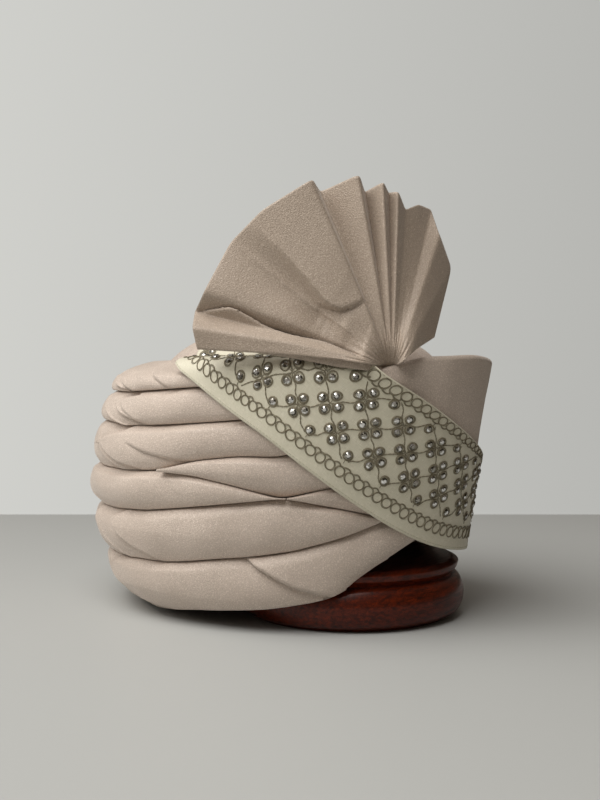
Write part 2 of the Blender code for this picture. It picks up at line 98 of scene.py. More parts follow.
# Metres from the turban's middle line to the cap's wall.
def capRadius(angle):
    half = np.array([cap["width"] / 2, cap["length"] / 2])
    shift = turban["setBack"] - cap["setBack"]
    x, y = -np.sin(np.radians(angle)), -np.cos(np.radians(angle))
    a = (x / half[0]) ** 2 + (y / half[1]) ** 2
    b = 2 * y * shift / half[1] ** 2
    c = (shift / half[1]) ** 2 - 1
    return (-b + np.sqrt(b * b - 4 * a * c)) / (2 * a)


stand = {
    "footRadius": 0.075, "footHeight": 0.029, "footEdge": 0.008,
    "collarRadius": 0.0715, "collarHeight": 0.009,
    "postRadius": 0.018, "postFlare": 0.008,
    "blockRadius": 0.042, "blockHeight": 0.036, "blockCrown": 0.022, "blockTop": 0.1846,
    "gap": 0.0003,
}


# Metres from the turban's middle line to the far side of a disc of the stand.
def standReach(angle, radius):
    turn = np.radians(angle)
    inside = radius**2 - (turban["setBack"] * np.sin(turn)) ** 2
    return turban["setBack"] * np.cos(turn) + np.sqrt(np.maximum(inside, 0))


# Crease lines between the rolls: angle, share of the height.
creases = {name: softRows(rows) for name, rows in {
    "rim": ((-40, .259), (-20, .294), (0, .334), (12, .352), (21, .298), (30, .243), (36, .188),
            (41, .146), (46, .122), (66, .087), (98, .056), (123, .021), (140, .015), (220, .015),
            (237, .024), (262, .059), (294, .118), (310, .2), (320, .259)),
    "first": ((-40, .506), (-15, .518), (5, .506), (18, .465), (28, .416), (42, .352), (56, .308),
              (72, .281), (85, .266), (100, .242), (109, .231), (120, .228), (133, .22), (170, .224),
              (210, .235), (240, .253), (266, .276), (294, .318), (320, .376)),
    "second": ((15, .5), (22, .458), (29, .427), (38, .456), (59, .505), (75, .481), (91, .457),
               (112, .425), (133, .407), (170, .406), (210, .418), (240, .441), (266, .471), (294, .506),
               (320, .535), (372, .545)),
    "third": ((15, .594), (30, .559), (44, .541), (54, .515), (60, .5), (75, .54), (90, .572), (107, .58),
              (122, .564), (140, .559), (170, .562), (210, .571), (240, .588), (266, .612), (294, .641),
              (320, .665), (372, .682)),
    "fourth": ((24, .841), (44, .818), (59, .8), (74, .779), (91, .761), (109, .745), (128, .729),
               (140, .738), (170, .735), (210, .724), (240, .735), (266, .753), (294, .776), (320, .794),
               (372, .824), (386, .856), (396, .862)),
    "fifth": ((30, .929), (59, .915), (74, .906), (92, .891), (110, .874), (131, .856), (143, .853),
              (170, .841), (210, .835), (240, .841), (266, .859), (294, .882), (320, .888), (396, .897)),
    "crown": ((36, .936), (80, .936), (105, .942), (117, .938), (141, .928), (170, .918), (210, .918),
              (240, .924), (266, .941), (294, .959), (320, .953), (372, .941)),
    "shoulder": ((-40, .985), (90, .982), (105, .975), (117, .96), (141, .942)),
}.items()}
wedgeRise = softRows(
    ((15, .135), (30, .153), (44, .153), (59, .153), (74, .112), (92, .048), (107, 0)))


def creaseHeight(name, angle):
    if name == "wedge":
        return creaseHeight("third", angle) + wedgeRise(angle) * turban["height"]
    return creases[name](angle) * turban["height"]


# A line through points, rounded at its corners, as rows of evenly spaced points.
def smoothLine(points, count=40):
    points = np.array(points, float)
    steps = np.linalg.norm(points[1:] - points[:-1], axis=1)
    places = np.concatenate([[0], np.cumsum(steps)])
    padded = np.vstack([2 * points[0] - points[1], points, 2 * points[-1] - points[-2]])
    at = np.linspace(0, places[-1], count)
    k = np.clip(np.searchsorted(places, at, side="right") - 1, 0, len(points) - 2)
    t = ((at - places[k]) / (places[k + 1] - places[k]))[:, None]
    a, b, c, d = (padded[k + n] for n in range(4))
    return 0.5 * (2 * b + (c - a) * t + (2 * a - 5 * b + 4 * c - d) * t**2
                  + (3 * b - a - 3 * c + d) * t**3)


# A fold in mm: how deep the lower cloth sinks and how high the upper one rises, how far each reaches,
# the width of the dark groove between them, and the shares of the line over which its ends fade.
plainFold = {"deep": 2.5, "lip": 1.0, "under": 4.0, "over": 8.0, "grooveWidth": 1.1, "ends": (.15, .15)}


# How far the cloth rises or sinks (mm) at flat places x, y (mm) beside the folds. The cloth on the
# left of a fold's line lies over the cloth on its right.
def foldRelief(x, y, folds):
    total = np.zeros_like(x)
    for given in folds:
        fold = {**plainFold, **given}
        line = smoothLine(fold["line"], 28)
        start, step = line[:-1], line[1:] - line[:-1]
        length = np.hypot(step[:, 0], step[:, 1])
        fromX, fromY = x[..., None] - start[:, 0], y[..., None] - start[:, 1]
        t = np.clip((fromX * step[:, 0] + fromY * step[:, 1]) / length**2, 0, 1)
        offX, offY = fromX - t * step[:, 0], fromY - t * step[:, 1]
        away = np.hypot(offX, offY)
        nearest = away.argmin(-1)[..., None]
        distance = np.take_along_axis(away, nearest, -1)[..., 0]
        turned = step[:, 0] * offY - step[:, 1] * offX
        onLeft = np.take_along_axis(turned, nearest, -1)[..., 0] > 0
        before = np.concatenate([[0], np.cumsum(length)])[:-1]
        place = np.take_along_axis(before + t * length, nearest, -1)[..., 0] / length.sum()
        begin, finish = (max(end, 1e-3) for end in fold["ends"])
        fade = np.clip(place / begin, 0, 1) * np.clip((1 - place) / finish, 0, 1)
        if fold["ends"][0] == 0:  # full from its very start
            fade = np.where(place <= 0.5, 1, fade)
        groove = fold.get("groove", fold["lip"] + 0.35 * fold["deep"])
        upper = fold["lip"] * np.exp(-distance / fold["over"])
        upper = upper - groove * np.exp(-((distance / fold["grooveWidth"]) ** 2))
        beyond = distance / fold["under"]
        if "soft" in fold:  # no crease, a rounded step
            lower = -fold["deep"] * beyond * np.exp(0.5 - 0.5 * beyond**2)
            fade = fade**2 * (3 - 2 * fade)
        else:
            lower = -fold["deep"] * np.exp(-beyond)
            fade = np.sqrt(fade)
        total = total + np.where(onLeft, upper, lower) * fade
    return total


# Slow waves over the cloth, in mm, as a sum of seeded ripples; low and high bound their lengths.
def ripples(x, y, size, low, high, seed, count=7):
    rng = np.random.default_rng(seed)
    total = np.zeros_like(x)
    for _ in range(count):
        wave, lean, shift = rng.uniform(low, high), rng.uniform(-0.6, 0.6), rng.uniform(0, 6.28)
        along = x * math.cos(lean) + y * math.sin(lean) * 1.6
        total = total + np.sin(6.283 / wave * along + shift)
    return total * size / count


def placeMesh(name, mesh):
    made = bpy.data.objects.new(name, mesh)
    bpy.context.scene.collection.objects.link(made)
    return made


# A mesh object from a grid of points; closed joins the last column to the first one, and ends caps
# the first and last rows. Its UVs are the flat cloth in metres.
def gridObject(name, grid, material, closed=False, ends=False):
    rows, columns = grid.shape[:2]
    index = np.arange(rows * columns).reshape(rows, columns)
    if closed:
        index = np.hstack([index, index[:, :1]])
    quads = np.stack([index[:-1, :-1], index[:-1, 1:], index[1:, 1:], index[1:, :-1]], -1)
    faces = quads.reshape(-1, 4).tolist()
    if ends:
        faces.append(index[0, :columns][::-1].tolist())
        faces.append(index[-1, :columns].tolist())
    mesh = bpy.data.meshes.new(name)
    mesh.from_pydata(grid.reshape(-1, 3).tolist(), [], faces)
    full = np.concatenate([grid, grid[:, :1]], 1) if closed else grid
    down = np.linalg.norm(np.diff(full, axis=1), axis=2).cumsum(1)
    down = np.hstack([np.zeros((rows, 1)), down])
    along = np.linalg.norm(np.diff(full, axis=0), axis=2).mean(1).cumsum()
    along = np.concatenate([[0], along])[:, None] + 0 * down
    flat = np.stack([along, down], -1)
    corners = [(0, 0), (0, 1), (1, 1), (1, 0)]
    r, c = full.shape[0] - 1, full.shape[1] - 1
    uv = np.stack([flat[a:a + r, b:b + c] for a, b in corners], 2).reshape(-1, 2)
    layer = mesh.uv_layers.new(name="cloth")
    rest = len(mesh.loops) - len(uv)
    layer.data.foreach_set("uv", np.vstack([uv, np.zeros((rest, 2))]).astype(np.float32).ravel())
    mesh.materials.append(material)
    mesh.shade_smooth()
    return placeMesh(name, mesh)


# Turns the faces outwards, after joining points that are closer than weld.
def faceOutwards(piece, weld=0):
    bm = bmesh.new()
    bm.from_mesh(piece.data)
    if weld:
        bmesh.ops.remove_doubles(bm, verts=bm.verts, dist=weld)
    bmesh.ops.recalc_face_normals(bm, faces=bm.faces)
    bm.to_mesh(piece.data)
    bm.free()
    return piece


def newMaterial(name):
    material = bpy.data.materials.new(name)
    material.use_nodes = True
    return material, material.node_tree, material.node_tree.nodes["Principled BSDF"]


# A node with its settings and its unlinked sockets set by name.
def addNode(tree, kind, **values):
    node = tree.nodes.new(kind)
    for key, value in values.items():
        if hasattr(node, key):
            setattr(node, key, value)
        else:
            node.inputs[key].default_value = value
    return node


# Mixes two tones; each is a colour or another node's output.
def toneMix(tree, factor, first, second):
    node = tree.nodes.new("ShaderNodeMix")
    node.data_type = "RGBA"
    tree.links.new(factor, node.inputs["Factor"])
    for socket, value in ((6, first), (7, second)):
        if isinstance(value, tuple):
            node.inputs[socket].default_value = (*value, 1)
        else:
            tree.links.new(value, node.inputs[socket])
    return node.outputs[2]


# The source's range from low to high, stretched over another range.
def stretched(tree, source, low, high, to=(0, 1)):
    node = tree.nodes.new("ShaderNodeMapRange")
    tree.links.new(source, node.inputs["Value"])
    for key, value in zip(("From Min", "From Max", "To Min", "To Max"), (low, high, *to)):
        node.inputs[key].default_value = value
    return node.outputs["Result"]


def addBump(tree, height, strength, distance):
    bump = addNode(tree, "ShaderNodeBump", Strength=strength, Distance=distance)
    tree.links.new(height, bump.inputs["Height"])
    return bump


# Tones, the last of them a painted glint tone, then how fine the grain and the drift in tone are, and how
# deep the grain is in metres.
crepe = {
    "light": (0.655, 0.550, 0.468), "deep": (0.563, 0.463, 0.388), "glintTone": (0.86, 0.76, 0.67),
    "grain": 1350, "drift": 16, "relief": 0.0003, "roughness": (0.62, 0.46), "sheen": 0.35,
}


# Fine crepe: pebbled grain, a slow drift in tone, painted shade in the pits of the grain and painted glints
# on its high points.
def makeCrepe(name, tones=crepe):
    material, tree, shader = newMaterial(name)
    place = addNode(tree, "ShaderNodeTexCoord").outputs["Object"]
    grain = addNode(tree, "ShaderNodeTexNoise", Scale=tones["grain"], Detail=2.0, Roughness=0.6)
    pebble = addNode(tree, "ShaderNodeTexVoronoi", Scale=tones["grain"] * 0.8)
    drift = addNode(tree, "ShaderNodeTexNoise", Scale=tones["drift"], Detail=3.0)
    for node in (grain, pebble, drift):
        tree.links.new(place, node.inputs["Vector"])
    clouds = stretched(tree, drift.outputs["Fac"], 0.3, 0.7)
    base = toneMix(tree, clouds, tones["deep"], tones["light"])
    # Painted shade: the low points of the grain, where its bump sinks, are darkened.
    pitShade = tuple(0.86 * v for v in tones["deep"])
    shaded = toneMix(tree, stretched(tree, grain.outputs["Fac"], 0.36, 0.66), pitShade, base)
    # Painted glints: the high points of the grain are brightened towards the glint tone.
    glints = stretched(tree, grain.outputs["Fac"], 0.56, 0.72, (0, 0.55))
    tree.links.new(toneMix(tree, glints, shaded, tones["glintTone"]), shader.inputs["Base Color"])
    rough = stretched(tree, grain.outputs["Fac"], 0.3, 0.7, tones["roughness"])
    tree.links.new(rough, shader.inputs["Roughness"])
    coarse = addBump(tree, pebble.outputs["Distance"], 0.55, tones["relief"])
    fine = addBump(tree, grain.outputs["Fac"], 0.5, tones["relief"])
    tree.links.new(coarse.outputs["Normal"], fine.inputs["Normal"])
    tree.links.new(fine.outputs["Normal"], shader.inputs["Normal"])
    shader.inputs["Sheen Weight"].default_value = tones["sheen"]
    shader.inputs["Sheen Roughness"].default_value = 0.4
    shader.inputs["Sheen Tint"].default_value = (1.0, 0.93, 0.86, 1)
    shader.inputs["Specular IOR Level"].default_value = 0.45
    return material


blushCrepe = makeCrepe("blushCrepe")
# Painted shade: the fan's cloth is the rolls' crepe made deeper and warmer than the rolls, standing in for
# the shade the fan sits in.
fanShadePaintedCrepe = makeCrepe("fanShadePaintedCrepe", dict(
    crepe, light=(0.475, 0.385, 0.305), deep=(0.405, 0.320, 0.250), glintTone=(0.66, 0.56, 0.46)))

slubSilk = {
    "light": (0.76, 0.715, 0.575), "deep": (0.60, 0.555, 0.42), "clouds": (0.66, 0.62, 0.48),
    "relief": 0.0003, "threads": (260, 1900), "cloudScale": 240.0,
}


# Cream slub silk: crossed threads of uneven weight that follow the band.
def makeSlubSilk(name):
    material, tree, shader = newMaterial(name)
    flat = addNode(tree, "ShaderNodeUVMap", uv_map="cloth").outputs["UV"]
    heights = []
    for stretch in (slubSilk["threads"], slubSilk["threads"][::-1]):
        turned = addNode(tree, "ShaderNodeMapping", Scale=(*stretch, 1))
        tree.links.new(flat, turned.inputs["Vector"])
        threads = addNode(tree, "ShaderNodeTexNoise", Scale=1.0, Detail=2.0)
        tree.links.new(turned.outputs["Vector"], threads.inputs["Vector"])
        heights.append(threads.outputs["Fac"])
    both = addNode(tree, "ShaderNodeMath", operation="ADD")
    tree.links.new(heights[0], both.inputs[0])
    tree.links.new(heights[1], both.inputs[1])
    tone = stretched(tree, both.outputs[0], 0.75, 1.25)
    clouds = addNode(tree, "ShaderNodeTexNoise", Scale=slubSilk["cloudScale"], Detail=3.0)
    tree.links.new(flat, clouds.inputs["Vector"])
    woven = toneMix(tree, tone, slubSilk["deep"], slubSilk["light"])
    cloud = stretched(tree, clouds.outputs["Fac"], 0.35, 0.65)
    tree.links.new(toneMix(tree, cloud, woven, slubSilk["clouds"]), shader.inputs["Base Color"])
    bump = addBump(tree, both.outputs[0], 0.6, slubSilk["relief"])
    tree.links.new(bump.outputs["Normal"], shader.inputs["Normal"])
    rough = stretched(tree, both.outputs[0], 0.7, 1.3, (0.62, 0.48))
    tree.links.new(rough, shader.inputs["Roughness"])
    shader.inputs["Sheen Weight"].default_value = 0.25
    return material


creamSilk = makeSlubSilk("creamSlubSilk")

# Rolls of cloth. Each: crease below, crease above, first angle, last angle, has a folded rear end.
rolls = {
    "clear": 0.0006, "capClear": 0.0015, "sweep": 20.0, "fade": 60.0,  # m, m, degrees, degrees
    # mm above the lower crease, mm inside the outline
    "lowerEdge": ((1.6, 14), (.9, 10.5), (.35, 8), (.05, 6), (.35, 4.4), (1.6, 3.1)),
    # mm below the upper crease, mm inside the outline
    "upperEdge": ((2.6, 3.1), (1, 4.6), (.1, 6.2), (-.3, 8), (-.6, 10.5), (-1.3, 14)),
    "middle": (.2, .36, .52, .68, .82), "round": 3.8, "fullest": .5,  # shares of the roll's height, mm
    # the top rolls slope up to the crown: mm of rise, share of the way to the cap
    "slope": ((1.8, .1), (4.2, .3), (6.2, .5), (7.6, .7), (7.4, .86), (5.2, .97)),
    "slopeAngles": ((98, 0), (120, 1), (300, 1), (318, 0)),
    "bulge": ((60, 0), (100, .5), (135, 2.2), (165, 2), (220, 1), (320, 0)),  # angle, extra mm of roundness
    # at the seam the right rolls lie over the rear ends of the left ones: mm, then degrees
    "lip": 1.0, "sunken": 2.2, "turnedIn": 2.6,
    "lipPlace": 2.6, "lipWide": 2.4, "sunkenWide": 9, "turnWide": 1.8, "seamGap": 0.25,
    # degrees between sections and beside an end, mm between the points of a section
    "rightStep": 0.5, "leftStep": 1.5, "fineEnds": (0, .15, .35, .6, .9, 1.3, 1.8, 2.4),
    "rightSpacing": 0.75, "leftSpacing": 1.2,
    "fullHeight": 27, "perDegree": 2.0, "waves": (1.1, 28, 90),  # mm; waves: height, shortest, longest
    "right": {
        "roll_right_bottom": ("rim", "first", -39.8, 147, True),
        "roll_right_second": ("first", "second", 29, 147, True),
        "roll_right_tuck": ("second", "third", 15, 58.2, False),
        "roll_right_third": ("second", "third", 58.6, 161, True),
        "roll_right_wedge": ("third", "wedge", 16, 104, False),
        "roll_right_fourth": ("wedge", "fourth", 26, 147, True),
        "roll_right_fifth": ("fourth", "fifth", 37, 147, True),
        "roll_right_top": ("fifth", "crown", 39, 147, True),
    },
    "left": {
        "roll_left_bottom": ("rim", "first", 147, 320, True),
        "roll_left_second": ("first", "second", 147, 320, True),
        "roll_left_third": ("second", "third", 161, 372, True),
        "roll_left_fourth": ("third", "fourth", 147, 375, True),
        "roll_left_fifth": ("fourth", "fifth", 147, 392, True),
        "roll_left_top": ("fifth", "crown", 147, 380, True),
    },
    "sleeve": ((310, 0.0), (318, 4.6), (372, 4.6), (392, 9.2)),
    # fold lines as angle, mm of height; the cloth on the left of the line lies over
    "folds": {
        "roll_right_bottom": (
            {"line": ((73, 48), (71, 44.5), (66, 39.2), (56, 30.1), (48, 26), (41, 23.5), (38, 22)),
             "deep": 4.5, "lip": 1.5, "under": 8, "over": 8, "ends": (0, 0)},
            {"line": ((134, 39.4), (139, 33), (140, 26), (136, 17), (124, 9), (110, 6)), "rear": True}),
        "roll_right_second": (
            {"line": ((125.6, 70.4), (130.4, 65.3), (130, 60.7), (126.1, 53.2), (120.2, 47.5), (113, 42.8),
                      (107, 38.5)), "rear": True},),
        "roll_right_fourth": (
            {"line": ((120, 114.5), (113, 110.5), (106, 108), (97, 106), (88, 105)), "deep": 2.6, "lip": .7,
             "ends": (.3, 0)},
            {"line": ((120, 127), (128, 121), (137, 116), (139.7, 112.1), (131.9, 105.1), (125.6, 100.4),
                      (117.7, 98), (108, 94)), "rear": True}),
        "roll_right_tuck": (
            {"line": ((45, 84), (38, 81), (30, 76.5)), "deep": 1.2, "lip": .8, "under": 3, "over": 3},),
        "roll_right_top": (
            {"line": ((113, 158), (106, 152.5), (99, 147.5), (94, 146)),
             "deep": 1.5, "lip": .8, "under": 4, "over": 4, "ends": (0, .3)},
            {"line": ((131, 161), (134, 156.5), (133, 152), (128, 147.2), (119, 143.5), (112, 142)),
             "rear": True},
            {"line": ((130, 157), (126, 157.5), (121, 156)), "deep": 1.2, "lip": .6, "under": 3, "over": 3}),
        "roll_right_fifth": (
            {"line": ((128, 139), (124, 134), (116, 128), (108, 125.5)),
             "deep": 1.4, "lip": .7, "under": 4, "over": 5, "ends": (.3, .3)},
            {"line": ((120, 146), (124, 144.5), (130.8, 142.4), (132.3, 138.3), (127.6, 132.4),
                      (122.7, 129.2), (114, 126)), "rear": True}),
    },
    "rear": {"deep": 3.2, "lip": 1.6, "under": 8, "over": 3, "groove": 4.2, "ends": (0, .1)},
}


# Weights that draw a smooth curve through control points a known distance apart.
def curveWeights(gaps, spacing):
    count = len(gaps) + 1
    places = np.concatenate([[0], np.cumsum(np.maximum(gaps, 0.6 * spacing))])
    samples = int(places[-1] / spacing) + 1
    weights = np.zeros((samples, count))
    for row, at in enumerate(np.linspace(0, places[-1], samples)):
        k = min(int(np.searchsorted(places, at, side="right")) - 1, count - 2)
        t = (at - places[k]) / (places[k + 1] - places[k])
        parts = (-t + 2 * t**2 - t**3, 2 - 5 * t**2 + 3 * t**3, t + 4 * t**2 - 3 * t**3, -t**2 + t**3)
        for n, part in enumerate(parts):
            weights[row, min(max(k - 1 + n, 0), count - 1)] += part / 2
    return weights


def makeRoll(name, lower, upper, first, last, hasSeam, onRight):
    if onRight:
        ends = np.array(rolls["fineEnds"])
        angles = np.concatenate([np.arange(first, last, rolls["rightStep"]), last - ends, first + ends])
        seam = last
    else:
        first += rolls["seamGap"] if hasSeam else 0
        fine = first + np.arange(0, 12, rolls["rightStep"])
        angles = np.concatenate([np.arange(first, last, rolls["leftStep"]), [last], fine])
        seam = first
    angles = np.unique(angles.clip(first, last).round(3))
    away = np.abs(angles - seam) if hasSeam else np.full_like(angles, rolls["fade"])
    low = creaseHeight(lower, angles)
    tall = creaseHeight(upper, angles) - low
    scale = np.minimum(1, tall / mm / rolls["fullHeight"])  # small rolls get small edges
    bottom, top = np.array(rolls["lowerEdge"]), np.array(rolls["upperEdge"])
    if upper == "crown":
        top = top[:2]
    middle = np.array(rolls["middle"])
    above = np.hstack([bottom[None, :, 0] * mm * scale[:, None], middle * tall[:, None]])
    above = np.hstack([above, np.full((len(angles), len(top)), np.nan)])
    below = np.hstack([np.full((len(angles), len(bottom) + len(middle)), np.nan),
                       top[None, :, 0] * mm * scale[:, None]])
    rounded = rolls["round"] * (2 * (middle - rolls["fullest"])) ** 2 - 0.5
    depth = np.concatenate([bottom[:, 1], rounded, top[:, 1]])[None, :] * mm * scale[:, None]
    if upper == "crown":
        room = outlineRadius(angles, low + tall) - capRadius(angles) - rolls["capClear"]
        share = np.interp(angles, *np.array(rolls["slopeAngles"]).T)
        rise, way = np.array(rolls["slope"]).T
        below = np.hstack([below, -mm * rise * share[:, None] - 0.5 * mm * way * (1 - share[:, None])])
        above = np.hstack([above, np.full((len(angles), len(rise)), np.nan)])
        start = depth[:, -1:]
        depth = np.hstack([depth, start + (room[:, None] - start) * way])
    share = np.where(np.isnan(above), 1 - below / tall[:, None], above / tall[:, None])
    share = np.clip(share, 0, 1)
    lean = rolls["sweep"] * (1 - share) ** 2.5 * np.maximum(0, 1 - away / rolls["fade"])[:, None]
    angle = angles[:, None] - lean
    lows = creaseHeight(lower, angle) + rolls["clear"] / 2
    highs = creaseHeight(upper, angle) - rolls["clear"] / 2
    height = np.where(np.isnan(above), highs - below, lows + above)
    gap = np.hypot(np.diff(height.mean(0)), np.diff(depth.mean(0)))
    weights = curveWeights(gap, rolls["rightSpacing" if onRight else "leftSpacing"] * mm)
    angle, height, depth, share = (grid @ weights.T for grid in (angle, height, depth, share))
    sleeve = np.interp(angle, *np.array(rolls["sleeve"]).T) * mm
    radius = outlineRadius(angle, np.clip(height, 0, turban["height"])) - sleeve - depth
    flatX, flatY = -angle * rolls["perDegree"], height / mm
    relief = ripples(flatX, flatY, *rolls["waves"], sum(map(ord, name)))
    relief = relief + foldRelief(flatX, flatY, [
        {**(rolls["rear"] if "rear" in fold else fold),
         "line": [(-rolls["perDegree"] * a, z) for a, z in fold["line"]]}
        for fold in rolls["folds"].get(name, ())])
    shown = np.clip(1.3 - depth / mm / 8, 0, 1)
    bulge = np.interp(angle, *np.array(rolls["bulge"]).T) * scale[:, None]
    relief = relief - bulge * (2 * np.clip(share, 0, 1) - 1) ** 2
    if hasSeam:
        away = away[:, None]
        if onRight:
            turnIn = np.clip(1 - away / rolls["turnWide"], 0, 1)
            lip = np.exp(-(((away - rolls["lipPlace"]) / rolls["lipWide"]) ** 2))
            relief = relief + rolls["lip"] * lip - rolls["turnedIn"] * (1 - np.sqrt(1 - turnIn**2))
        else:
            relief = relief - rolls["sunken"] * np.exp(-((away / rolls["sunkenWide"]) ** 2))
    radius = radius + relief * mm * shown
    inner = capRadius(angle) + rolls["capClear"]
    low = height < stand["footHeight"] + 2 * stand["collarHeight"]
    disc = np.where(height < stand["footHeight"], stand["footRadius"], stand["collarRadius"])
    inner = np.where(low, np.maximum(inner, standReach(angle, disc) + 0.9 * mm), inner)
    radius = np.maximum(radius, inner + 0.5 * mm)
    outer = turbanPoint(angle, radius, height)
    first = turbanPoint(angle[:, 0], inner[:, 0], height[:, 0] + 0.3 * mm)
    last = turbanPoint(angle[:, -1], inner[:, -1], height[:, -1] - 0.3 * mm)
    grid = np.concatenate([first[:, None], outer, last[:, None]], axis=1)
    return faceOutwards(gridObject(name + "_cloth", grid, blushCrepe, closed=True, ends=True))


for side in ("right", "left"):
    for name, row in rolls[side].items():
        piece = makeRoll(name, *row, side == "right")
        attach(piece, "root")
        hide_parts(name)
print("rolls wound")


def capPoint(turn, size, height):
    x = cap["width"] / 2 * size * np.sin(turn)
    y = cap["setBack"] + cap["length"] / 2 * size * np.cos(turn)
    return np.stack(np.broadcast_arrays(x, y, height), axis=-1)


def capRim(turns):
    point = capPoint(turns, 1, 0)
    angle = np.degrees(np.arctan2(-point[:, 0], turban["setBack"] - point[:, 1])) % 360
    angle = np.where(angle > 320, angle - 360, angle)
    rim = creaseHeight("rim", angle) + stand["gap"]
    close = capRadius(angle) - cap["thickness"] < standReach(angle, stand["footRadius"]) + 6 * mm
    return np.where(close, np.maximum(rim, stand["footHeight"] + stand["collarHeight"] + 1.5 * mm), rim)


# The head-shaped crown: wall and dome in one cloth, with a lining inside.
def makeCrown():
    turns = np.linspace(0, 2 * math.pi, 181)[:-1]
    rim = capRim(turns)
    outside = [capPoint(turns, 1, rim + (cap["wallTop"] - rim) * k / 10) for k in range(10)]
    rise = np.linspace(0, math.pi / 2, 30)
    for t in rise[:-1]:
        size, lift = math.cos(t), math.sin(t)
        gather = cap["gather"] * mm * np.sin(turns * cap["gathers"] + 2 * np.sin(turns * 3))
        gather = gather * np.clip((size - 0.55) / 0.45, 0, 1)  # they fade out up the dome
        swell = cap["swell"] * mm * np.sin(turns * cap["swells"] + 1.3) * math.sin(2 * t)
        outside.append(capPoint(turns, size, cap["wallTop"] + cap["rise"] * lift - 0.6 * mm + gather + swell))
    outside.append(capPoint(turns, 0.002, cap["wallTop"] + cap["rise"] - 0.4 * mm))
    thick = cap["thickness"]
    shrink = 1 - thick / 0.09
    inside = [capPoint(turns, 0.002, cap["wallTop"] + cap["rise"] - thick)]
    for t in rise[:-1][::-1]:
        height = cap["wallTop"] + (cap["rise"] - thick) * math.sin(t)
        inside.append(capPoint(turns, math.cos(t) * shrink, height))
    inside += [capPoint(turns, shrink, rim + (cap["wallTop"] - rim) * k / 10) for k in range(9, -1, -1)]
    grid = np.stack(outside + inside)
    piece = gridObject("crown_cloth", np.concatenate([grid, grid[:1]]), blushCrepe, closed=True)
    return faceOutwards(piece, weld=0.02 * mm)


crown = makeCrown()
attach(crown, "root")
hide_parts("crown_cap", "cap_wall_left", "cap_wall_right")
print("crown made")


# A closed sheet with its thickness (m) behind its outer grid.
def sheetSolid(name, grid, thickness, material):
    along = np.gradient(grid, axis=0)
    across = np.gradient(grid, axis=1)
    normal = np.cross(along, across)
    normal /= np.linalg.norm(normal, axis=2, keepdims=True) + 1e-12
    outward = grid - np.array([0, turban["setBack"], 0.06])
    if (normal * outward).sum() < 0:
        normal = -normal
    back = grid - normal * thickness
    ring = np.concatenate([grid, back[:, ::-1]], axis=1)
    return faceOutwards(gridObject(name, ring, material, closed=True, ends=True))


frontWrap = {
    # angle, lower edge, upper edge (shares of the height)
    "rows": ((-39.8, .535, .935), (-25, .547, .962), (-10, .582, .988), (3, .641, 1.006), (12, .706, 1.003),
             (20, .782, 1.003), (27, .859, .976), (35, .905, .95)),
    "from": -39.8, "to": 35, "perDegree": 2.2,  # degrees, mm of cloth for one degree
    "thickness": 1.6, "edge": 2.6, "inset": 0.3, "tuck": (6, 10, 14),  # mm
    "waves": (0.8, 30, 80, 5),  # mm: height, shortest, longest; seed
    "hollows": ((18, 4.2, 1.4), (8, 3.0, 0.5)),  # angle, half width in degrees, depth in mm
    "shoulder": ((-40, 0), (8, 0), (20, 2.6), (35, 3.4)), "shoulderHeight": 16,  # mm at an angle
    "turnedIn": 2.2,  # mm at the front end
}


def makeFrontWrap():
    angles = np.linspace(frontWrap["from"], frontWrap["to"], 110)
    low = softRows(frontWrap["rows"], 1)(angles) * turban["height"]
    high = softRows(frontWrap["rows"], 2)(angles) * turban["height"]
    rise = np.linspace(0, 1, 34)
    height = low[:, None] + (high - low - 2 * mm)[:, None] * rise
    angle = angles[:, None] + 0 * height
    radius = outlineRadius(angle, height) - frontWrap["inset"] * mm
    fall = np.clip((height / mm - 118) / 30, 0, 1)
    for place, wide, deep in frontWrap["hollows"]:
        radius = radius - deep * mm * np.exp(-(((angle - place) / wide) ** 2)) * fall
    flatX = -frontWrap["perDegree"] * angle
    radius = radius + ripples(flatX, height / mm, *frontWrap["waves"]) * mm
    shoulder = np.clip(1 - (height[:, -1:] - height) / mm / frontWrap["shoulderHeight"], 0, 1) ** 2
    radius = radius - softRows(frontWrap["shoulder"], 1, 3)(angles)[:, None] * shoulder * mm
    radius = radius - frontWrap["turnedIn"] * mm * np.exp(-(((angle - angles[0]) / 0.9) ** 2))
    curl = np.linspace(0.15, math.pi * 1.05, 12)
    edge = frontWrap["edge"] * mm
    topHeight = height[:, -1:] + edge * np.sin(curl)
    topRadius = radius[:, -1:] - edge * (1 - np.cos(curl))
    tuck = np.array(frontWrap["tuck"]) * mm
    tuckHeight = topHeight[:, -1:] - tuck
    tuckRadius = topRadius[:, -1:] - 0.1 * tuck
    heights = np.concatenate([height, topHeight, tuckHeight], 1)
    radii = np.concatenate([radius, topRadius, tuckRadius], 1)
    grid = turbanPoint(angles[:, None] + 0 * heights, radii, heights)
    return sheetSolid("front_wrap_cloth", grid, frontWrap["thickness"] * mm, blushCrepe)


wrap = makeFrontWrap()
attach(wrap, "root")
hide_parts("front_wrap")
print("front wrap laid")

band = {
    # angle and place of the lower edge, angle and place of the upper edge
    "rows": ((117, -.085, 139, -.1), (109, -.045, 129, -.155), (100, 0, 114, -.225), (91, .043, 92, -.28),
             (84, .092, 70, -.265), (72, .182, 50, -.175), (64, .241, 42, -.1), (53, .348, 33, .015),
             (45, .419, 23, .088), (31, .544, 9, .208), (17, .636, -6, .306), (6, .678, -16, .347),
             (-8, .706, -26, .37), (-22, .72, -34, .382), (-39.8, .729, -39.8, .388)),
    "lift": 3.5, "thickness": 1.7, "tail": 34, "round": 0.0075,  # mm, mm, mm, m
    "rolledUnder": (1.56, 0.9, 0.42, 0.12),  # mm, the first rows at both ends
    "alongSteps": 300, "acrossSteps": 60, "lineBlur": 9, "alongBlur": 3, "acrossBlur": 2.5,  # blurs in steps
}


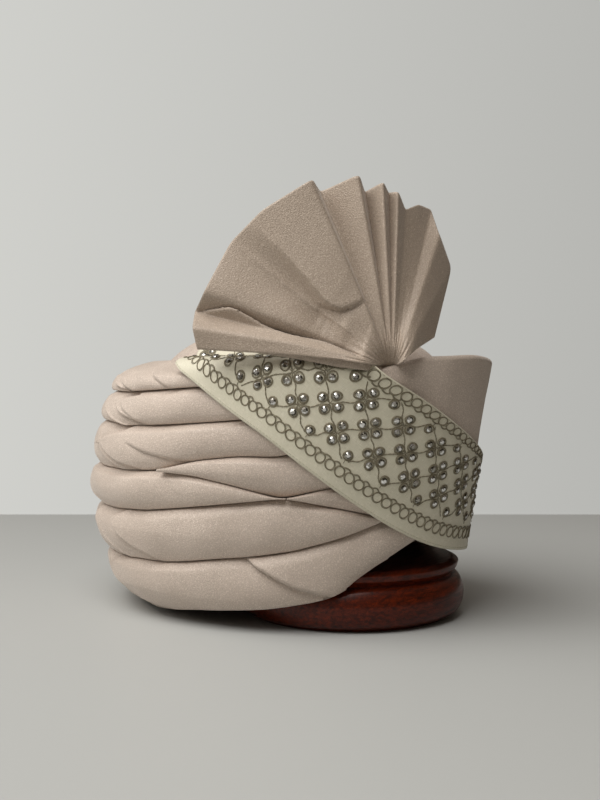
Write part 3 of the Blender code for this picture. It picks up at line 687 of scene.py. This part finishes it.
def shoulderHeight(angle):
    return creaseHeight("shoulder", angle) - band["round"] / 3


def bandPlan(angle, place):
    radius = outlineRadius(angle, shoulderHeight(angle)) + place * turban["height"]
    return np.stack([-radius * np.sin(np.radians(angle)), -radius * np.cos(np.radians(angle))], -1)


def fromPlan(point):
    angle = np.degrees(np.arctan2(-point[..., 0], -point[..., 1]))
    length = np.hypot(point[..., 0], point[..., 1])
    shoulder = shoulderHeight(angle)
    inside = outlineRadius(angle, shoulder) - length
    wallHeight = shoulder + inside
    turn = np.clip(inside / band["round"], 0, 1) * math.pi / 2
    across = point[..., 0] / (cap["width"] / 2)
    along = (point[..., 1] + turban["setBack"] - cap["setBack"]) / (cap["length"] / 2)
    dome = cap["wallTop"] + cap["rise"] * np.sqrt(np.maximum(0, 1 - across**2 - along**2))
    top = np.maximum(shoulder + band["round"] / 3 * np.sin(turn), dome)
    onWall = inside <= 0
    height = np.where(onWall, wallHeight, top)
    radius = np.where(onWall, outlineRadius(angle, wallHeight), length)
    return turbanPoint(angle, radius, height)


# Blurs a grid of points along one axis and keeps its ends in place.
def blur(grid, axis, size):
    reach = int(size * 3)
    bell = np.exp(-0.5 * (np.arange(-reach, reach + 1) / size) ** 2)
    bell /= bell.sum()
    grid = np.moveaxis(grid, axis, 0)
    before = 2 * grid[:1] - grid[1:reach + 1][::-1]
    after = 2 * grid[-1:] - grid[-reach - 1:-1][::-1]
    padded = np.concatenate([before, grid, after])
    smooth = sum(w * padded[k:k + len(grid)] for k, w in enumerate(bell))
    return np.moveaxis(smooth, 0, axis)


def makeBandSurface():
    count = len(band["rows"])
    rows = np.array(band["rows"], float)
    fine = np.linspace(0, count - 1, band["alongSteps"] + 1)
    table = np.stack([np.interp(fine, np.arange(count), rows[:, k]) for k in range(4)], 1)
    table = blur(table, 0, band["lineBlur"])
    low, high = bandPlan(table[:, 0], table[:, 1]), bandPlan(table[:, 2], table[:, 3])
    across = np.linspace(0, 1, band["acrossSteps"] + 1)[None, :, None]
    surface = fromPlan(low[:, None] * (1 - across) + high[:, None] * across)
    surface = blur(blur(surface, 1, band["acrossBlur"]), 0, band["alongBlur"])
    normal = np.cross(np.gradient(surface, axis=0), np.gradient(surface, axis=1))
    normal /= np.linalg.norm(normal, axis=2, keepdims=True)
    return surface + normal * band["lift"] * mm, normal


bandSurface, bandNormal = makeBandSurface()
middle = bandSurface[:, band["acrossSteps"] // 2]
bandAlong = np.concatenate([[0], np.linalg.norm(np.diff(middle, axis=0), axis=1).cumsum()]) / mm
band["length"] = float(bandAlong[-1])
print("band length mm", round(band["length"], 1))


bandWidths = np.linalg.norm(np.diff(bandSurface, axis=1), axis=2).sum(1) / mm


def bandWidth(along):
    return np.interp(along, bandAlong, bandWidths)


# Points on the band at mm along it and mm across from its lower edge, raised above its cloth.
def onBand(along, across, raised=0.0):
    along, across = np.broadcast_arrays(np.asarray(along, float), np.asarray(across, float))
    row = np.interp(along, bandAlong, np.arange(len(bandAlong)))
    column = np.clip(across / bandWidth(along), 0, 1) * band["acrossSteps"]
    r = np.clip(row.astype(int), 0, len(bandAlong) - 2)
    c = np.clip(column.astype(int), 0, band["acrossSteps"] - 1)
    u, v = (row - r)[..., None], (column - c)[..., None]

    def mixed(grid):
        near = grid[r, c] * (1 - v) + grid[r, c + 1] * v
        far = grid[r + 1, c] * (1 - v) + grid[r + 1, c + 1] * v
        return near * (1 - u) + far * u

    normal = mixed(bandNormal)
    normal /= np.linalg.norm(normal, axis=-1, keepdims=True)
    return mixed(bandSurface) + normal * np.asarray(raised)[..., None] * mm, normal


shown = bandAlong >= band["tail"]
visible = bandSurface[shown].copy()
for k, drop in enumerate(band["rolledUnder"]):
    visible[k] -= bandNormal[shown][k] * drop * mm
    visible[-1 - k] -= bandNormal[-1 - k] * drop * mm
bandCloth = sheetSolid("band_cloth", visible, band["thickness"] * mm, creamSilk)
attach(bandCloth, "root")
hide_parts("embroidered_band")
print("band laid")

embroidery = {
    "from": 38.0, "to": 366.0,  # mm along the band
    "ringPitch": 7.57, "rings": (3.5, 2.95), "lowerRings": ((60, 12.3), (300, 10.6)), "upperRings": 4.7,
    "capRadius": 3.3, "capOut": 1.7,  # small arcs that bridge the rings on the side of the field
    "alongStep": 14.25, "acrossStep": 13.1, "firstRow": 16.7, "firstFlower": 142.2, "petal": 5.3,
    "strand": 0.2, "stoneRings": (2.45, 3.45), "turns": 2.6, "stoneRadius": 2.0,
    # the first thread tone is a painted highlight, threadDark the thread's own tone
    "threadHighlight": (0.43, 0.375, 0.265), "threadDark": (0.13, 0.108, 0.065),
}


# Twisted thread: the light tone is painted highlight along the ridges of the twist, laid over the dark tone
# of the thread itself; the same twist gives the bump.
def makeThread(name, light, dark, metal):
    material, tree, shader = newMaterial(name)
    flat = addNode(tree, "ShaderNodeUVMap", uv_map="cloth").outputs["UV"]
    turned = addNode(tree, "ShaderNodeMapping", Scale=(1900, 900, 1))
    tree.links.new(flat, turned.inputs["Vector"])
    twist = addNode(tree, "ShaderNodeTexWave", bands_direction="DIAGONAL", Scale=0.5, Distortion=0.8)
    tree.links.new(turned.outputs["Vector"], twist.inputs["Vector"])
    tree.links.new(toneMix(tree, twist.outputs["Fac"], dark, light), shader.inputs["Base Color"])
    bump = addBump(tree, twist.outputs["Fac"], 0.7, 0.0001)
    tree.links.new(bump.outputs["Normal"], shader.inputs["Normal"])
    tree.links.new(stretched(tree, twist.outputs["Fac"], 0, 1, (0.5, 0.34)), shader.inputs["Roughness"])
    shader.inputs["Metallic"].default_value = metal
    return material


zariThread = makeThread("antiqueZari", embroidery["threadHighlight"], embroidery["threadDark"], 0.3)
creamThread = makeThread("creamThread", (0.62, 0.58, 0.44), (0.42, 0.39, 0.28), 0.0)


# Round strands laid on the band. Each strand: mm along, mm across, mm raised, closed loop or not.
def layStrands(name, strands, thick, material, sides=5):
    points, faces, uvs = [], [], []
    turns = np.linspace(0, 2 * math.pi, sides + 1)[:-1]
    for along, across, raised, loop in strands:
        centre, normal = onBand(along, across, raised)
        if loop:
            tangent = np.roll(centre, -1, 0) - np.roll(centre, 1, 0)
        else:
            tangent = np.gradient(centre, axis=0)
        tangent /= np.linalg.norm(tangent, axis=1, keepdims=True) + 1e-12
        beside = np.cross(normal, tangent)
        wide, high = np.cos(turns)[None, :, None], np.sin(turns)[None, :, None]
        ring = centre[:, None] + thick * mm * (beside[:, None] * wide * 1.15 + normal[:, None] * high)
        start, count = len(points), len(centre)
        points += ring.reshape(-1, 3).tolist()
        length = np.concatenate([[0], np.linalg.norm(np.diff(centre, axis=0), axis=1).cumsum()])
        for r in range(count if loop else count - 1):
            n = (r + 1) % count
            for k in range(sides):
                m = (k + 1) % sides
                faces.append([start + r * sides + k, start + n * sides + k, start + n * sides + m,
                              start + r * sides + m])
                u0, u1 = length[r], length[r + 1] if r + 1 < count else length[r] + 0.0005
                v0, v1 = k / sides * 0.002, (k + 1) / sides * 0.002
                uvs += [(u0, v0), (u1, v0), (u1, v1), (u0, v1)]
        if not loop:
            faces.append([start + k for k in range(sides)])
            faces.append([start + (count - 1) * sides + k for k in reversed(range(sides))])
            uvs += [(0, 0)] * (2 * sides)
    mesh = bpy.data.meshes.new(name)
    mesh.from_pydata(points, [], faces)
    layer = mesh.uv_layers.new(name="cloth")
    layer.data.foreach_set("uv", np.array(uvs, np.float32).ravel())
    mesh.materials.append(material)
    mesh.shade_smooth()
    return faceOutwards(placeMesh(name, mesh))


def lowerRings(along):
    return np.interp(along, *np.array(embroidery["lowerRings"]).T)


# A chain of double rings beside each edge, with small arcs over the places where they meet.
def ringChains():
    e = embroidery
    strands = []
    turn = np.linspace(0, 2 * math.pi, 25)[:-1]
    arc = np.linspace(0.3, math.pi - 0.3, 11)
    for k in range(int((e["to"] - e["from"] - 8) / e["ringPitch"])):
        place = e["from"] + 4 + k * e["ringPitch"]
        for side, centre in ((1, lowerRings(place)), (-1, bandWidth(place) - e["upperRings"])):
            shift, oval = dice.uniform(0, 6.28), dice.uniform(0.02, 0.06)
            for n, radius in enumerate(e["rings"]):
                radius = radius * (1 + oval * np.sin(2 * turn + shift + n))
                raised = 0.22 + 0.12 * np.sin(3 * turn + shift + 2 * n)
                strands.append((place + radius * np.cos(turn), centre + radius * np.sin(turn), raised, True))
            for n in (0, 1):
                radius = e["capRadius"] - 0.6 * n + 0.12 * np.sin(4 * arc + shift)
                across = centre + side * (e["capOut"] + radius * np.sin(arc) * 0.85)
                along = place + e["ringPitch"] / 2 + radius * np.cos(arc)
                strands.append((along, across, 0.42 + 0 * arc, False))
    return layStrands("ring_chains", strands, e["strand"], zariThread, 4)


# Two strands twisted round each other along a path.
def twisted(along, across, wide=0.27, period=2.7, raised=0.22):
    step = np.hypot(np.gradient(along), np.gradient(across))
    place = np.cumsum(step)
    sideX, sideY = -np.gradient(across) / step, np.gradient(along) / step
    pair = []
    for turn in (0, math.pi):
        off = wide * np.sin(place * math.pi / period + turn)
        lift = raised + 0.12 * np.cos(place * math.pi / period + turn)
        pair.append((along + sideX * off, across + sideY * off, lift, False))
    return pair


# Wavering threads that run from flower to flower.
def latticeThreads():
    e = embroidery
    strands = []
    for row in range(4):
        for k in range(-9, 17):
            if (row + k) % 2:
                continue
            for lean in (1, -1):
                share = np.linspace(0.16 if row == 0 else 0.04, 0.86 if row == 3 else 0.96, 24)
                bend = dice.uniform(-0.9, 0.9) * np.sin(math.pi * share)
                bend = bend + 0.35 * np.sin(2 * math.pi * dice.uniform(1.2, 2.2) * share + dice.uniform(0, 6))
                along = e["firstFlower"] + e["alongStep"] * (k - 1 + lean * share) + bend
                across = e["firstRow"] + e["acrossStep"] * (row + share) - lean * bend
                inside = (along > e["from"] + 2) & (along < e["to"] - 2)
                inside &= across < bandWidth(along) - e["upperRings"] - 4.6
                if inside.sum() > 5:
                    strands += twisted(along[inside], across[inside])
    return layStrands("lattice_threads", strands, e["strand"] * 0.85, zariThread, 4)


# Where the stones sit: flowers of four on the lattice, single ones along its edges. Each row: mm along,
# mm across, and the same for the middle of its flower.
def stonePlaces():
    e = embroidery
    places = []
    for row in range(5):
        across = e["firstRow"] + row * e["acrossStep"]
        for k in range(-30, 30):
            if (row + k) % 2 == 0:
                continue
            along = e["firstFlower"] + e["alongStep"] * k
            petals = ((1, 0), (-1, 0), (0, 1), (0, -1))
            if row in (0, 4):
                petals = petals[2:3] if row == 0 else petals[3:]
            for a, b in petals:
                s = along + a * e["petal"] + dice.uniform(-0.35, 0.35)
                w = across + b * e["petal"] + dice.uniform(-0.35, 0.35)
                if e["from"] + 4 < s < e["to"] - 4 and w < bandWidth(s) - e["upperRings"] - 6.5:
                    places.append((s, w, along, across))
    return places


# Each stone sits in a few turns of thread that start from the middle of its flower.
def stoneRings(places):
    e = embroidery
    strands = []
    for s, w, along, across in places:
        start = math.atan2(across - w, along - s)
        turn = start + np.linspace(0, 2 * math.pi * e["turns"], int(15 * e["turns"]))
        share = np.linspace(0, 1, len(turn))
        small, large = e["stoneRings"]
        radius = large - (large - small) * share + 0.1 * np.sin(3 * turn + s)
        raised = 0.22 + 0.35 * share + 0.08 * np.sin(5 * turn)
        x, y = s + radius * np.cos(turn), w + radius * np.sin(turn)
        strands.append((np.concatenate([[along], x]), np.concatenate([[across], y]),
                        np.concatenate([[0.5], raised]), False))
    return layStrands("stone_rings", strands, e["strand"], zariThread, 4)


def makeGlass(name, colour, roughness, metal):
    material, tree, shader = newMaterial(name)
    place = addNode(tree, "ShaderNodeTexCoord").outputs["Object"]
    cloud = addNode(tree, "ShaderNodeTexNoise", Scale=900.0, Detail=1.0)
    tree.links.new(place, cloud.inputs["Vector"])
    tone = toneMix(tree, cloud.outputs["Fac"], tuple(0.72 * v for v in colour), colour)
    tree.links.new(tone, shader.inputs["Base Color"])
    shader.inputs["Roughness"].default_value = roughness
    shader.inputs["Metallic"].default_value = metal
    shader.inputs["Coat Weight"].default_value = 0.5
    shader.inputs["Coat Roughness"].default_value = 0.04
    return material


# Foil-backed cut stones: a table, 24 facets in three depths of grey and a girdle. The greys are painted
# reflections: a painted glint on the facets turned to one side and mostly on the table, dark on those turned
# away, on the girdle and on the back.
def setStones(places):
    centre, normal = onBand(np.array([p[0] for p in places]), np.array([p[1] for p in places]), 0.15)
    beside, _ = onBand(np.array([p[0] + 0.5 for p in places]), np.array([p[1] for p in places]), 0.15)
    size = embroidery["stoneRadius"]
    points, faces, tones = [], [], []
    for middle, up, near in zip(centre, normal, beside):
        first = near - middle
        first -= up * first.dot(up)
        first /= np.linalg.norm(first)
        second = np.cross(up, first)
        # light is the side each stone's painted glint comes from.
        spin, light = dice.uniform(0, 0.8), dice.uniform(0, 6.28)
        start = len(points)
        for count, radius, height in ((16, 0.92, -0.55), (16, 1.0, 0.42), (8, 0.5, 1.12)):
            for k in range(count):
                t = spin + (k + (0.5 if count == 16 else 0)) * 2 * math.pi / count
                points.append(middle + (first * math.cos(t) + second * math.sin(t)) * radius * size * mm
                              + up * height * mm)
        low, rim, table = start, start + 16, start + 32

        # Painted reflection: facets turned towards light get the bright tone, those turned away the dark one,
        # with some chance in it.
        def tone(t):
            value = math.cos(t - light) + dice.uniform(-0.9, 0.9)
            return 0 if value > 0.45 else 2 if value < -0.35 else 1

        for k in range(16):
            n = (k + 1) % 16
            faces.append((low + k, low + n, rim + n, rim + k))
            tones.append(2)
        for k in range(8):
            n, t = (k + 1) % 8, spin + k * math.pi / 4
            a, b, c = rim + (2 * k - 1) % 16, rim + 2 * k, rim + 2 * k + 1
            faces += [(table + k, a, b), (table + k, b, table + n), (table + n, b, c)]
            tones += [tone(t), tone(t + 0.4), tone(t + 0.7)]
        faces.append(tuple(table + k for k in range(8)))
        tones.append(int(dice.choice([0, 0, 1])))
        faces.append(tuple(low + k for k in reversed(range(16))))
        tones.append(2)
    mesh = bpy.data.meshes.new("cut_stones")
    mesh.from_pydata([tuple(p) for p in points], [], faces)
    # The painted glint, painted grey reflection and painted dark reflection tones of the facets.
    for row in (("glintPaintedFoil", (0.95, 0.94, 0.91), 0.10, 0.85), ("greyReflectionPaintedFoil", (0.42, 0.40, 0.35), 0.16, 0.9),
                ("darkReflectionPaintedFoil", (0.085, 0.072, 0.05), 0.14, 0.6)):
        mesh.materials.append(makeGlass(*row))
    mesh.polygons.foreach_set("material_index", tones)
    return faceOutwards(placeMesh("cut_stones", mesh))


# mm from stitch to stitch, length, from the lower edge, from the upper edge, half thickness
hemThread = {"pitch": 2.6, "stitch": 1.7, "fromLower": 1.5, "fromUpper": 1.0, "thick": 0.16}


# A running stitch just inside each edge of the band.
def hemStitches():
    strands = []
    for start in np.arange(band["tail"] + 4, band["length"] - 6, hemThread["pitch"]):
        along = np.linspace(start, start + hemThread["stitch"], 5)
        raised = 0.02 + 0.12 * np.sin(np.linspace(0, math.pi, 5))
        strands.append((along, hemThread["fromLower"] + 0 * along, raised, False))
        strands.append((along, bandWidth(along) - hemThread["fromUpper"], raised, False))
    return layStrands("hem_stitches", strands, hemThread["thick"], creamThread, 4)


stonesAt = stonePlaces()
bandTrim = [ringChains(), latticeThreads(), stoneRings(stonesAt), setStones(stonesAt), hemStitches()]
for piece in bandTrim:
    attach(piece, "root")
print("embroidery worked,", len(stonesAt), "stones,", sum(len(p.data.polygons) for p in bandTrim), "faces")

fan = {
    "reach": 0.117, "facing": 58, "footAngle": 28.5, "footRadius": 0.1236, "footHeight": 0.1705,
    "stemWidth": 9.0, "stem": (12, 9, 6.5), "thickness": 1.0, "underThickness": 0.8,  # mm
    # fold lines: right, up, back, forward bulge (shares of the reach)
    "folds": ((-.942, .043, .050, .184), (-.970, .156, .033, .175), (-.969, .235, .153, .167),
              (-.920, .336, .033, .150), (-.794, .588, .119, .128), (-.634, .749, .050, .107),
              (-.388, .900, -.001, .094), (-.348, .849, .170, .090), (-.158, .927, .033, .085),
              (-.126, .848, .180, .090), (-.041, .890, .059, .090), (-.012, .846, .177, .094),
              (.030, .846, .110, .098), (.068, .760, .196, .107), (.139, .794, .290, .120),
              (.209, .773, .392, .145), (.245, .629, .310, .158), (.309, .465, .392, .171),
              (.202, .102, .256, .188)),
    # hollows as mm right and mm up from the foot; the cloth on the left of the line lies over
    "hollows": (
        {"line": ((-104, 74), (-88.7, 64), (-76.1, 54), (-63.6, 44.1), (-48.6, 32.1), (-27.7, 19),
                  (-6.7, 2.2)),
         "deep": 3.8, "lip": .8, "under": 9, "over": 14, "groove": .0, "soft": True, "ends": (.45, .3)},
        {"line": ((-86, 84), (-76, 74), (-66, 64.5), (-57, 55.5), (-46.8, 44.1), (-35.5, 32.5), (-22, 28)),
         "deep": 7.0, "lip": 1.6, "under": 8, "over": 12, "groove": .0, "soft": True, "ends": (.65, .2)},
        {"line": ((-42, 32), (-32, 29.5), (-24, 31), (-15.5, 35)),
         "deep": 3.0, "lip": .8, "under": 4, "over": 5, "groove": 1.0, "ends": (.5, .3)},
        {"line": ((-17.5, 2.8), (-37.8, 10), (-55.2, 13), (-72, 17.8), (-84.5, 25), (-95.9, 29.8),
                  (-114.5, 26.8)),
         "deep": 8.0, "lip": 1.0, "under": 12, "over": 5, "groove": .8, "ends": (.1, .7)}),
    "hem": (-.925, .078, .110, .170), "detail": 20, "upSteps": 96, "soft": 2.0, "sweep": 1.5,
    "firstPanel": (0.6, 7.6),  # the folds that bound the panel with the hollows
    "waves": (0.7, 25, 70, 21),  # mm: height, shortest, longest; seed
    "bulge": ((0, 0), (.08, .97), (.3, 1.06), (.5, 1.0), (.75, .85), (1, .64), (1.2, .46)),
    "footDrop": 4.5, "gathers": 0.4,  # mm
    "underLayer": ((0, 1), (.08, 4.5), (.25, 5.6), (.5, 4.2), (.8, 2.2), (1, .4)),  # mm below the hem
}


def fanFrame():
    facing = math.radians(fan["facing"])
    right = np.array([math.cos(facing), -math.sin(facing), 0])
    back = np.array([math.sin(facing), math.cos(facing), 0])
    foot = turbanPoint(fan["footAngle"], fan["footRadius"], fan["footHeight"])
    return foot, right, back, np.array([0, 0, 1.0])


def makeFan():
    foot, right, back, up = fanFrame()
    folds = np.array((fan["hem"],) + fan["folds"])
    count = len(folds)
    depths = np.concatenate([folds[:1, 2], folds[:, 2], folds[-1:, 2]])
    lean = (depths[:-2] + 2 * depths[1:-1] + depths[2:]) / 4
    fine = np.linspace(0, count - 1, (count - 1) * fan["detail"] + 1)
    columns = np.column_stack([folds, lean])
    sharp = np.stack([np.interp(fine, np.arange(count), columns[:, k]) for k in range(5)], 1)
    soft = blur(sharp, 0, fan["soft"])
    share = np.linspace(0, 1, fan["upSteps"])[None, :]
    aside, rise, behind, bulge, lean = (soft[:, k][:, None] for k in range(5))
    bow = softShare(np.array(fan["bulge"]), share)
    depth = lean * share + (behind - lean) * share ** fan["sweep"] - bulge * bow
    offset = fan["stemWidth"] * mm * (fine[:, None] / (count - 1) - 0.5)
    acrossPlane, upPlane = (offset + fan["reach"] * aside * share) / mm, fan["reach"] * rise * share / mm
    start, end = fan["firstPanel"]
    firstPanel = np.clip((end - fine) / 0.5, 0, 1)[:, None] * np.clip((fine - start) / 0.4, 0, 1)[:, None]
    hollow = foldRelief(acrossPlane, upPlane, fan["hollows"]) * firstPanel
    hollow = hollow + ripples(acrossPlane, upPlane, *fan["waves"]) * np.clip(share * 3, 0, 1)
    gathers = np.sin(fine * 2 * math.pi * 1.1)[:, None] * np.exp(-(((share - 0.1) / 0.09) ** 2))
    hollow = hollow + fan["gathers"] * gathers
    base = foot + right * offset
    drop = -fan["footDrop"] * mm * (1 - np.minimum(share / 0.6, 1)) ** 2 * up[:, None]
    point = base[:, None] + drop.T[None] + fan["reach"] * (
        right * (aside * share)[..., None] + up * (rise * share)[..., None] + back * depth[..., None])
    point = point - back * hollow[..., None] * mm
    stem = base[:, None] - up * (np.array(fan["stem"]) * mm)[None, :, None]
    return np.concatenate([stem, point], 1)


def softShare(rows, share):
    grid = np.linspace(-0.2, 1.2, 281)
    values = np.interp(grid, rows[:, 0], rows[:, 1])
    return np.interp(share, grid, bellBlur(values, 7, 20)) * np.clip(share / 0.02, 0, 1)


fanGrid = makeFan()
# The fan's cloth has the crepe with painted shade.
fanPiece = gridObject("fan_cloth", fanGrid, fanShadePaintedCrepe)
thick = fanPiece.modifiers.new("thickness", "SOLIDIFY")
thick.thickness, thick.offset, thick.use_even_offset = fan["thickness"] * mm, 0, False
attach(fanPiece, "root")
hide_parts("pleated_fan")


# The second layer of cloth, which shows as a narrow strip below the fan's hem.
def fanUnderLayer():
    hem = fanGrid[0, 3:]
    back = fanFrame()[2]
    share = np.linspace(0, 1, len(hem))
    drop = np.interp(share, *np.array(fan["underLayer"]).T)[:, None, None]
    across = np.linspace(-0.35, 1, 7)[None, :, None]
    bow = 1.4 - 1.1 * (across - 0.2) ** 2
    grid = hem[:, None] - drop * across * mm * np.array([0, 0, 1.0])
    grid = grid + back * (2.4 - bow) * mm * np.minimum(drop, 1.2)
    # The under layer has the crepe with painted shade as well.
    piece = gridObject("fan_under_layer", grid, fanShadePaintedCrepe)
    cloth = piece.modifiers.new("thickness", "SOLIDIFY")
    cloth.thickness, cloth.offset = fan["underThickness"] * mm, 0
    return piece


underLayer = fanUnderLayer()
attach(underLayer, "root")
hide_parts("pleated_fan")
print("fan pleated")

polishedWood = {"dark": (0.030, 0.0035, 0.0008), "red": (0.135, 0.016, 0.0025), "grain": 60}


def makeWood(name):
    material, tree, shader = newMaterial(name)
    place = addNode(tree, "ShaderNodeTexCoord").outputs["Object"]
    turned = addNode(tree, "ShaderNodeMapping", Scale=(1, 6, 9), Rotation=(0, 0, 0.5))
    tree.links.new(place, turned.inputs["Vector"])
    rings = addNode(tree, "ShaderNodeTexNoise", Scale=polishedWood["grain"], Detail=5.0, Distortion=0.6)
    tree.links.new(turned.outputs["Vector"], rings.inputs["Vector"])
    fine = addNode(tree, "ShaderNodeTexNoise", Scale=420.0, Detail=2.0)
    tree.links.new(turned.outputs["Vector"], fine.inputs["Vector"])
    bands = stretched(tree, rings.outputs["Fac"], 0.32, 0.66)
    tone = toneMix(tree, bands, polishedWood["dark"], polishedWood["red"])
    pores = stretched(tree, fine.outputs["Fac"], 0.35, 0.5)
    tree.links.new(toneMix(tree, pores, polishedWood["dark"], tone), shader.inputs["Base Color"])
    tree.links.new(stretched(tree, rings.outputs["Fac"], 0.3, 0.7, (0.42, 0.3)), shader.inputs["Roughness"])
    bump = addBump(tree, rings.outputs["Fac"], 0.15, 0.0002)
    tree.links.new(bump.outputs["Normal"], shader.inputs["Normal"])
    shader.inputs["Specular IOR Level"].default_value = 0.2
    shader.inputs["Coat Weight"].default_value = 0.2
    shader.inputs["Coat Roughness"].default_value = 0.16
    return material


redWood = makeWood("polishedRedWood")


def turnedPiece(name, profile, material, count=144):
    profile = smoothCorners(np.array(profile, float))
    turns = np.linspace(0, 2 * math.pi, count + 1)[:-1]
    grid = np.stack([np.stack([r * np.cos(turns), r * np.sin(turns), z + 0 * turns], -1) for r, z in profile])
    piece = gridObject(name, grid, material, closed=True)
    return faceOutwards(piece, weld=0.01 * mm)


# Cuts each corner of a turned profile into a small round.
def smoothCorners(profile, cut=0.8):
    rows = [profile[0]]
    for before, corner, after in zip(profile, profile[1:], profile[2:]):
        a, b = before - corner, after - corner
        la, lb = np.linalg.norm(a), np.linalg.norm(b)
        take = min(cut * mm, 0.45 * la, 0.45 * lb)
        p, q = corner + a / la * take, corner + b / lb * take
        for t in (0, 0.25, 0.5, 0.75, 1):
            rows.append((1 - t) ** 2 * p + 2 * t * (1 - t) * corner + t * t * q)
    rows.append(profile[-1])
    return np.array(rows)


def standProfiles():
    s = stand
    top = s["footHeight"] + s["collarHeight"]
    middle, half = 0.5175 * s["footHeight"], 0.4475 * s["footHeight"]
    turns = np.linspace(math.pi / 2, -math.pi / 2, 19)
    nose = [(s["footRadius"] - s["footEdge"] * (1 - math.cos(t)), middle + half * math.sin(t)) for t in turns]
    foot = [(0.00001, top), (s["collarRadius"] * .94, top), (s["collarRadius"], top - s["collarHeight"] / 4),
            (s["collarRadius"] * .985, top - s["collarHeight"] * 2 / 3),
            (s["collarRadius"] * .945, s["footHeight"]), *nose,
            (s["footRadius"] - s["footEdge"] * 1.25, 0), (0.00001, 0)]
    low, side = s["blockTop"] - s["blockHeight"], s["blockTop"] - s["blockCrown"]
    turns = np.linspace(0.0003, math.pi / 2, 16)
    post = [(s["blockRadius"] * math.sin(t), side + s["blockCrown"] * math.cos(t)) for t in turns]
    post += [(s["blockRadius"], low + .004), (s["blockRadius"] - .004, low),
             (s["postRadius"] + s["postFlare"], low), (s["postRadius"] + 0.002, low - 0.002),
             (s["postRadius"], low - s["postFlare"]),
             (s["postRadius"], top + s["postFlare"]), (s["postRadius"] + 0.002, top + 0.002),
             (s["postRadius"] + s["postFlare"], top + s["gap"]), (0.00001, top + s["gap"])]
    return foot, post


for name, profile in zip(("stand_foot", "stand_post"), standProfiles()):
    piece = turnedPiece(name + "_turned", profile, redWood)
    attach(piece, "root")
    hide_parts(name)
print("stand turned")

studio = {
    "azimuth": -58, "pitch": 3.6, "lens": 63, "eye": (-0.79816, -0.45954, 0.19783),
    "wall": (0.64, 0.64, 0.61), "wallFalloff": 0.72,  # one pale tone, dimmer on the side away from the window
    "wallGlow": 1.0,
    "roomLow": (0.08, 0.062, 0.046), "roomHigh": (0.24, 0.225, 0.205), "roomGlow": 1.0,
    "floor": (0.455, 0.46, 0.445), "tableBack": 0.44,
    # right, into the picture, up (m), size (m), power (W), colour
    "lights": {"window": ((-1.1, 0.0, 0.85), 1.1, 5.5, (1.0, 0.995, 0.975)),
               "above": ((-0.5, -0.54, 1.32), 1.3, 23.0, (1.0, 0.99, 0.97))},
}


def makeStudio():
    scene = bpy.context.scene
    azimuth, pitch = math.radians(studio["azimuth"]), math.radians(studio["pitch"])
    right = Vector((math.cos(azimuth), math.sin(azimuth), 0))
    into = Vector((-math.sin(azimuth), math.cos(azimuth), 0))
    camera = bpy.data.objects.new("studioCamera", bpy.data.cameras.new("studioCamera"))
    camera.data.lens = studio["lens"]
    camera.data.clip_start, camera.data.clip_end = 0.01, 50
    forward = into * math.cos(pitch) - Vector((0, 0, 1)) * math.sin(pitch)
    camera.location = studio["eye"]
    camera.rotation_euler = forward.to_track_quat("-Z", "Y").to_euler()
    scene.collection.objects.link(camera)
    scene.camera = camera

    material, tree, shader = newMaterial("paleTable")
    drift = addNode(tree, "ShaderNodeTexNoise", Scale=3.0, Detail=2.0)
    tone = stretched(tree, drift.outputs["Fac"], 0.3, 0.7)
    colour = toneMix(tree, tone, tuple(v * 0.98 for v in studio["floor"]), studio["floor"])
    tree.links.new(colour, shader.inputs["Base Color"])
    shader.inputs["Roughness"].default_value = 0.5
    shader.inputs["Specular IOR Level"].default_value = 0.3
    mesh = bpy.data.meshes.new("floor")
    corners = [right * x + into * y for x, y in ((-1.6, -1.6), (1.6, -1.6), (1.6, studio["tableBack"]),
                                                 (-1.6, studio["tableBack"]))]
    mesh.from_pydata([tuple(c) for c in corners], [], [(0, 1, 2, 3)])
    mesh.materials.append(material)
    placeMesh("floor", mesh)

    world = bpy.data.worlds.new("studioRoom")  # a pale wall to look at, a dimmer room to light with
    scene.world = world
    world.use_nodes = True
    tree = world.node_tree
    wall, output = tree.nodes["Background"], tree.nodes["World Output"]
    direction = addNode(tree, "ShaderNodeTexCoord").outputs["Generated"]

    def towards(way, low, high):
        dot = addNode(tree, "ShaderNodeVectorMath", operation="DOT_PRODUCT")
        tree.links.new(direction, dot.inputs[0])
        dot.inputs[1].default_value = way
        return stretched(tree, dot.outputs["Value"], low, high)

    dimmed = tuple(v * studio["wallFalloff"] for v in studio["wall"])
    tree.links.new(toneMix(tree, towards(right, -0.25, 0.25), studio["wall"], dimmed), wall.inputs["Color"])
    wall.inputs["Strength"].default_value = studio["wallGlow"]
    room = addNode(tree, "ShaderNodeBackground", Strength=studio["roomGlow"])
    up = Vector((0, 0, 1))
    glow = towards(up * 0.6 - right * 0.8, -0.5, 1.0)
    tree.links.new(toneMix(tree, glow, studio["roomLow"], studio["roomHigh"]), room.inputs["Color"])
    seen = addNode(tree, "ShaderNodeLightPath").outputs["Is Camera Ray"]
    both = addNode(tree, "ShaderNodeMixShader")
    tree.links.new(seen, both.inputs["Fac"])
    tree.links.new(room.outputs[0], both.inputs[1])
    tree.links.new(wall.outputs[0], both.inputs[2])
    tree.links.new(both.outputs[0], output.inputs["Surface"])
    scene.view_settings.view_transform = "Standard"

    for name, (offset, size, power, colour) in studio["lights"].items():
        light = bpy.data.objects.new(name, bpy.data.lights.new(name, "AREA"))
        light.data.size, light.data.energy, light.data.color = size, power, colour
        place = right * offset[0] + into * offset[1] + Vector((0, 0, offset[2]))
        light.location = place
        light.rotation_euler = (Vector((0, 0.03, 0.1)) - place).to_track_quat("-Z", "Y").to_euler()
        scene.collection.objects.link(light)


makeStudio()
print("studio set")
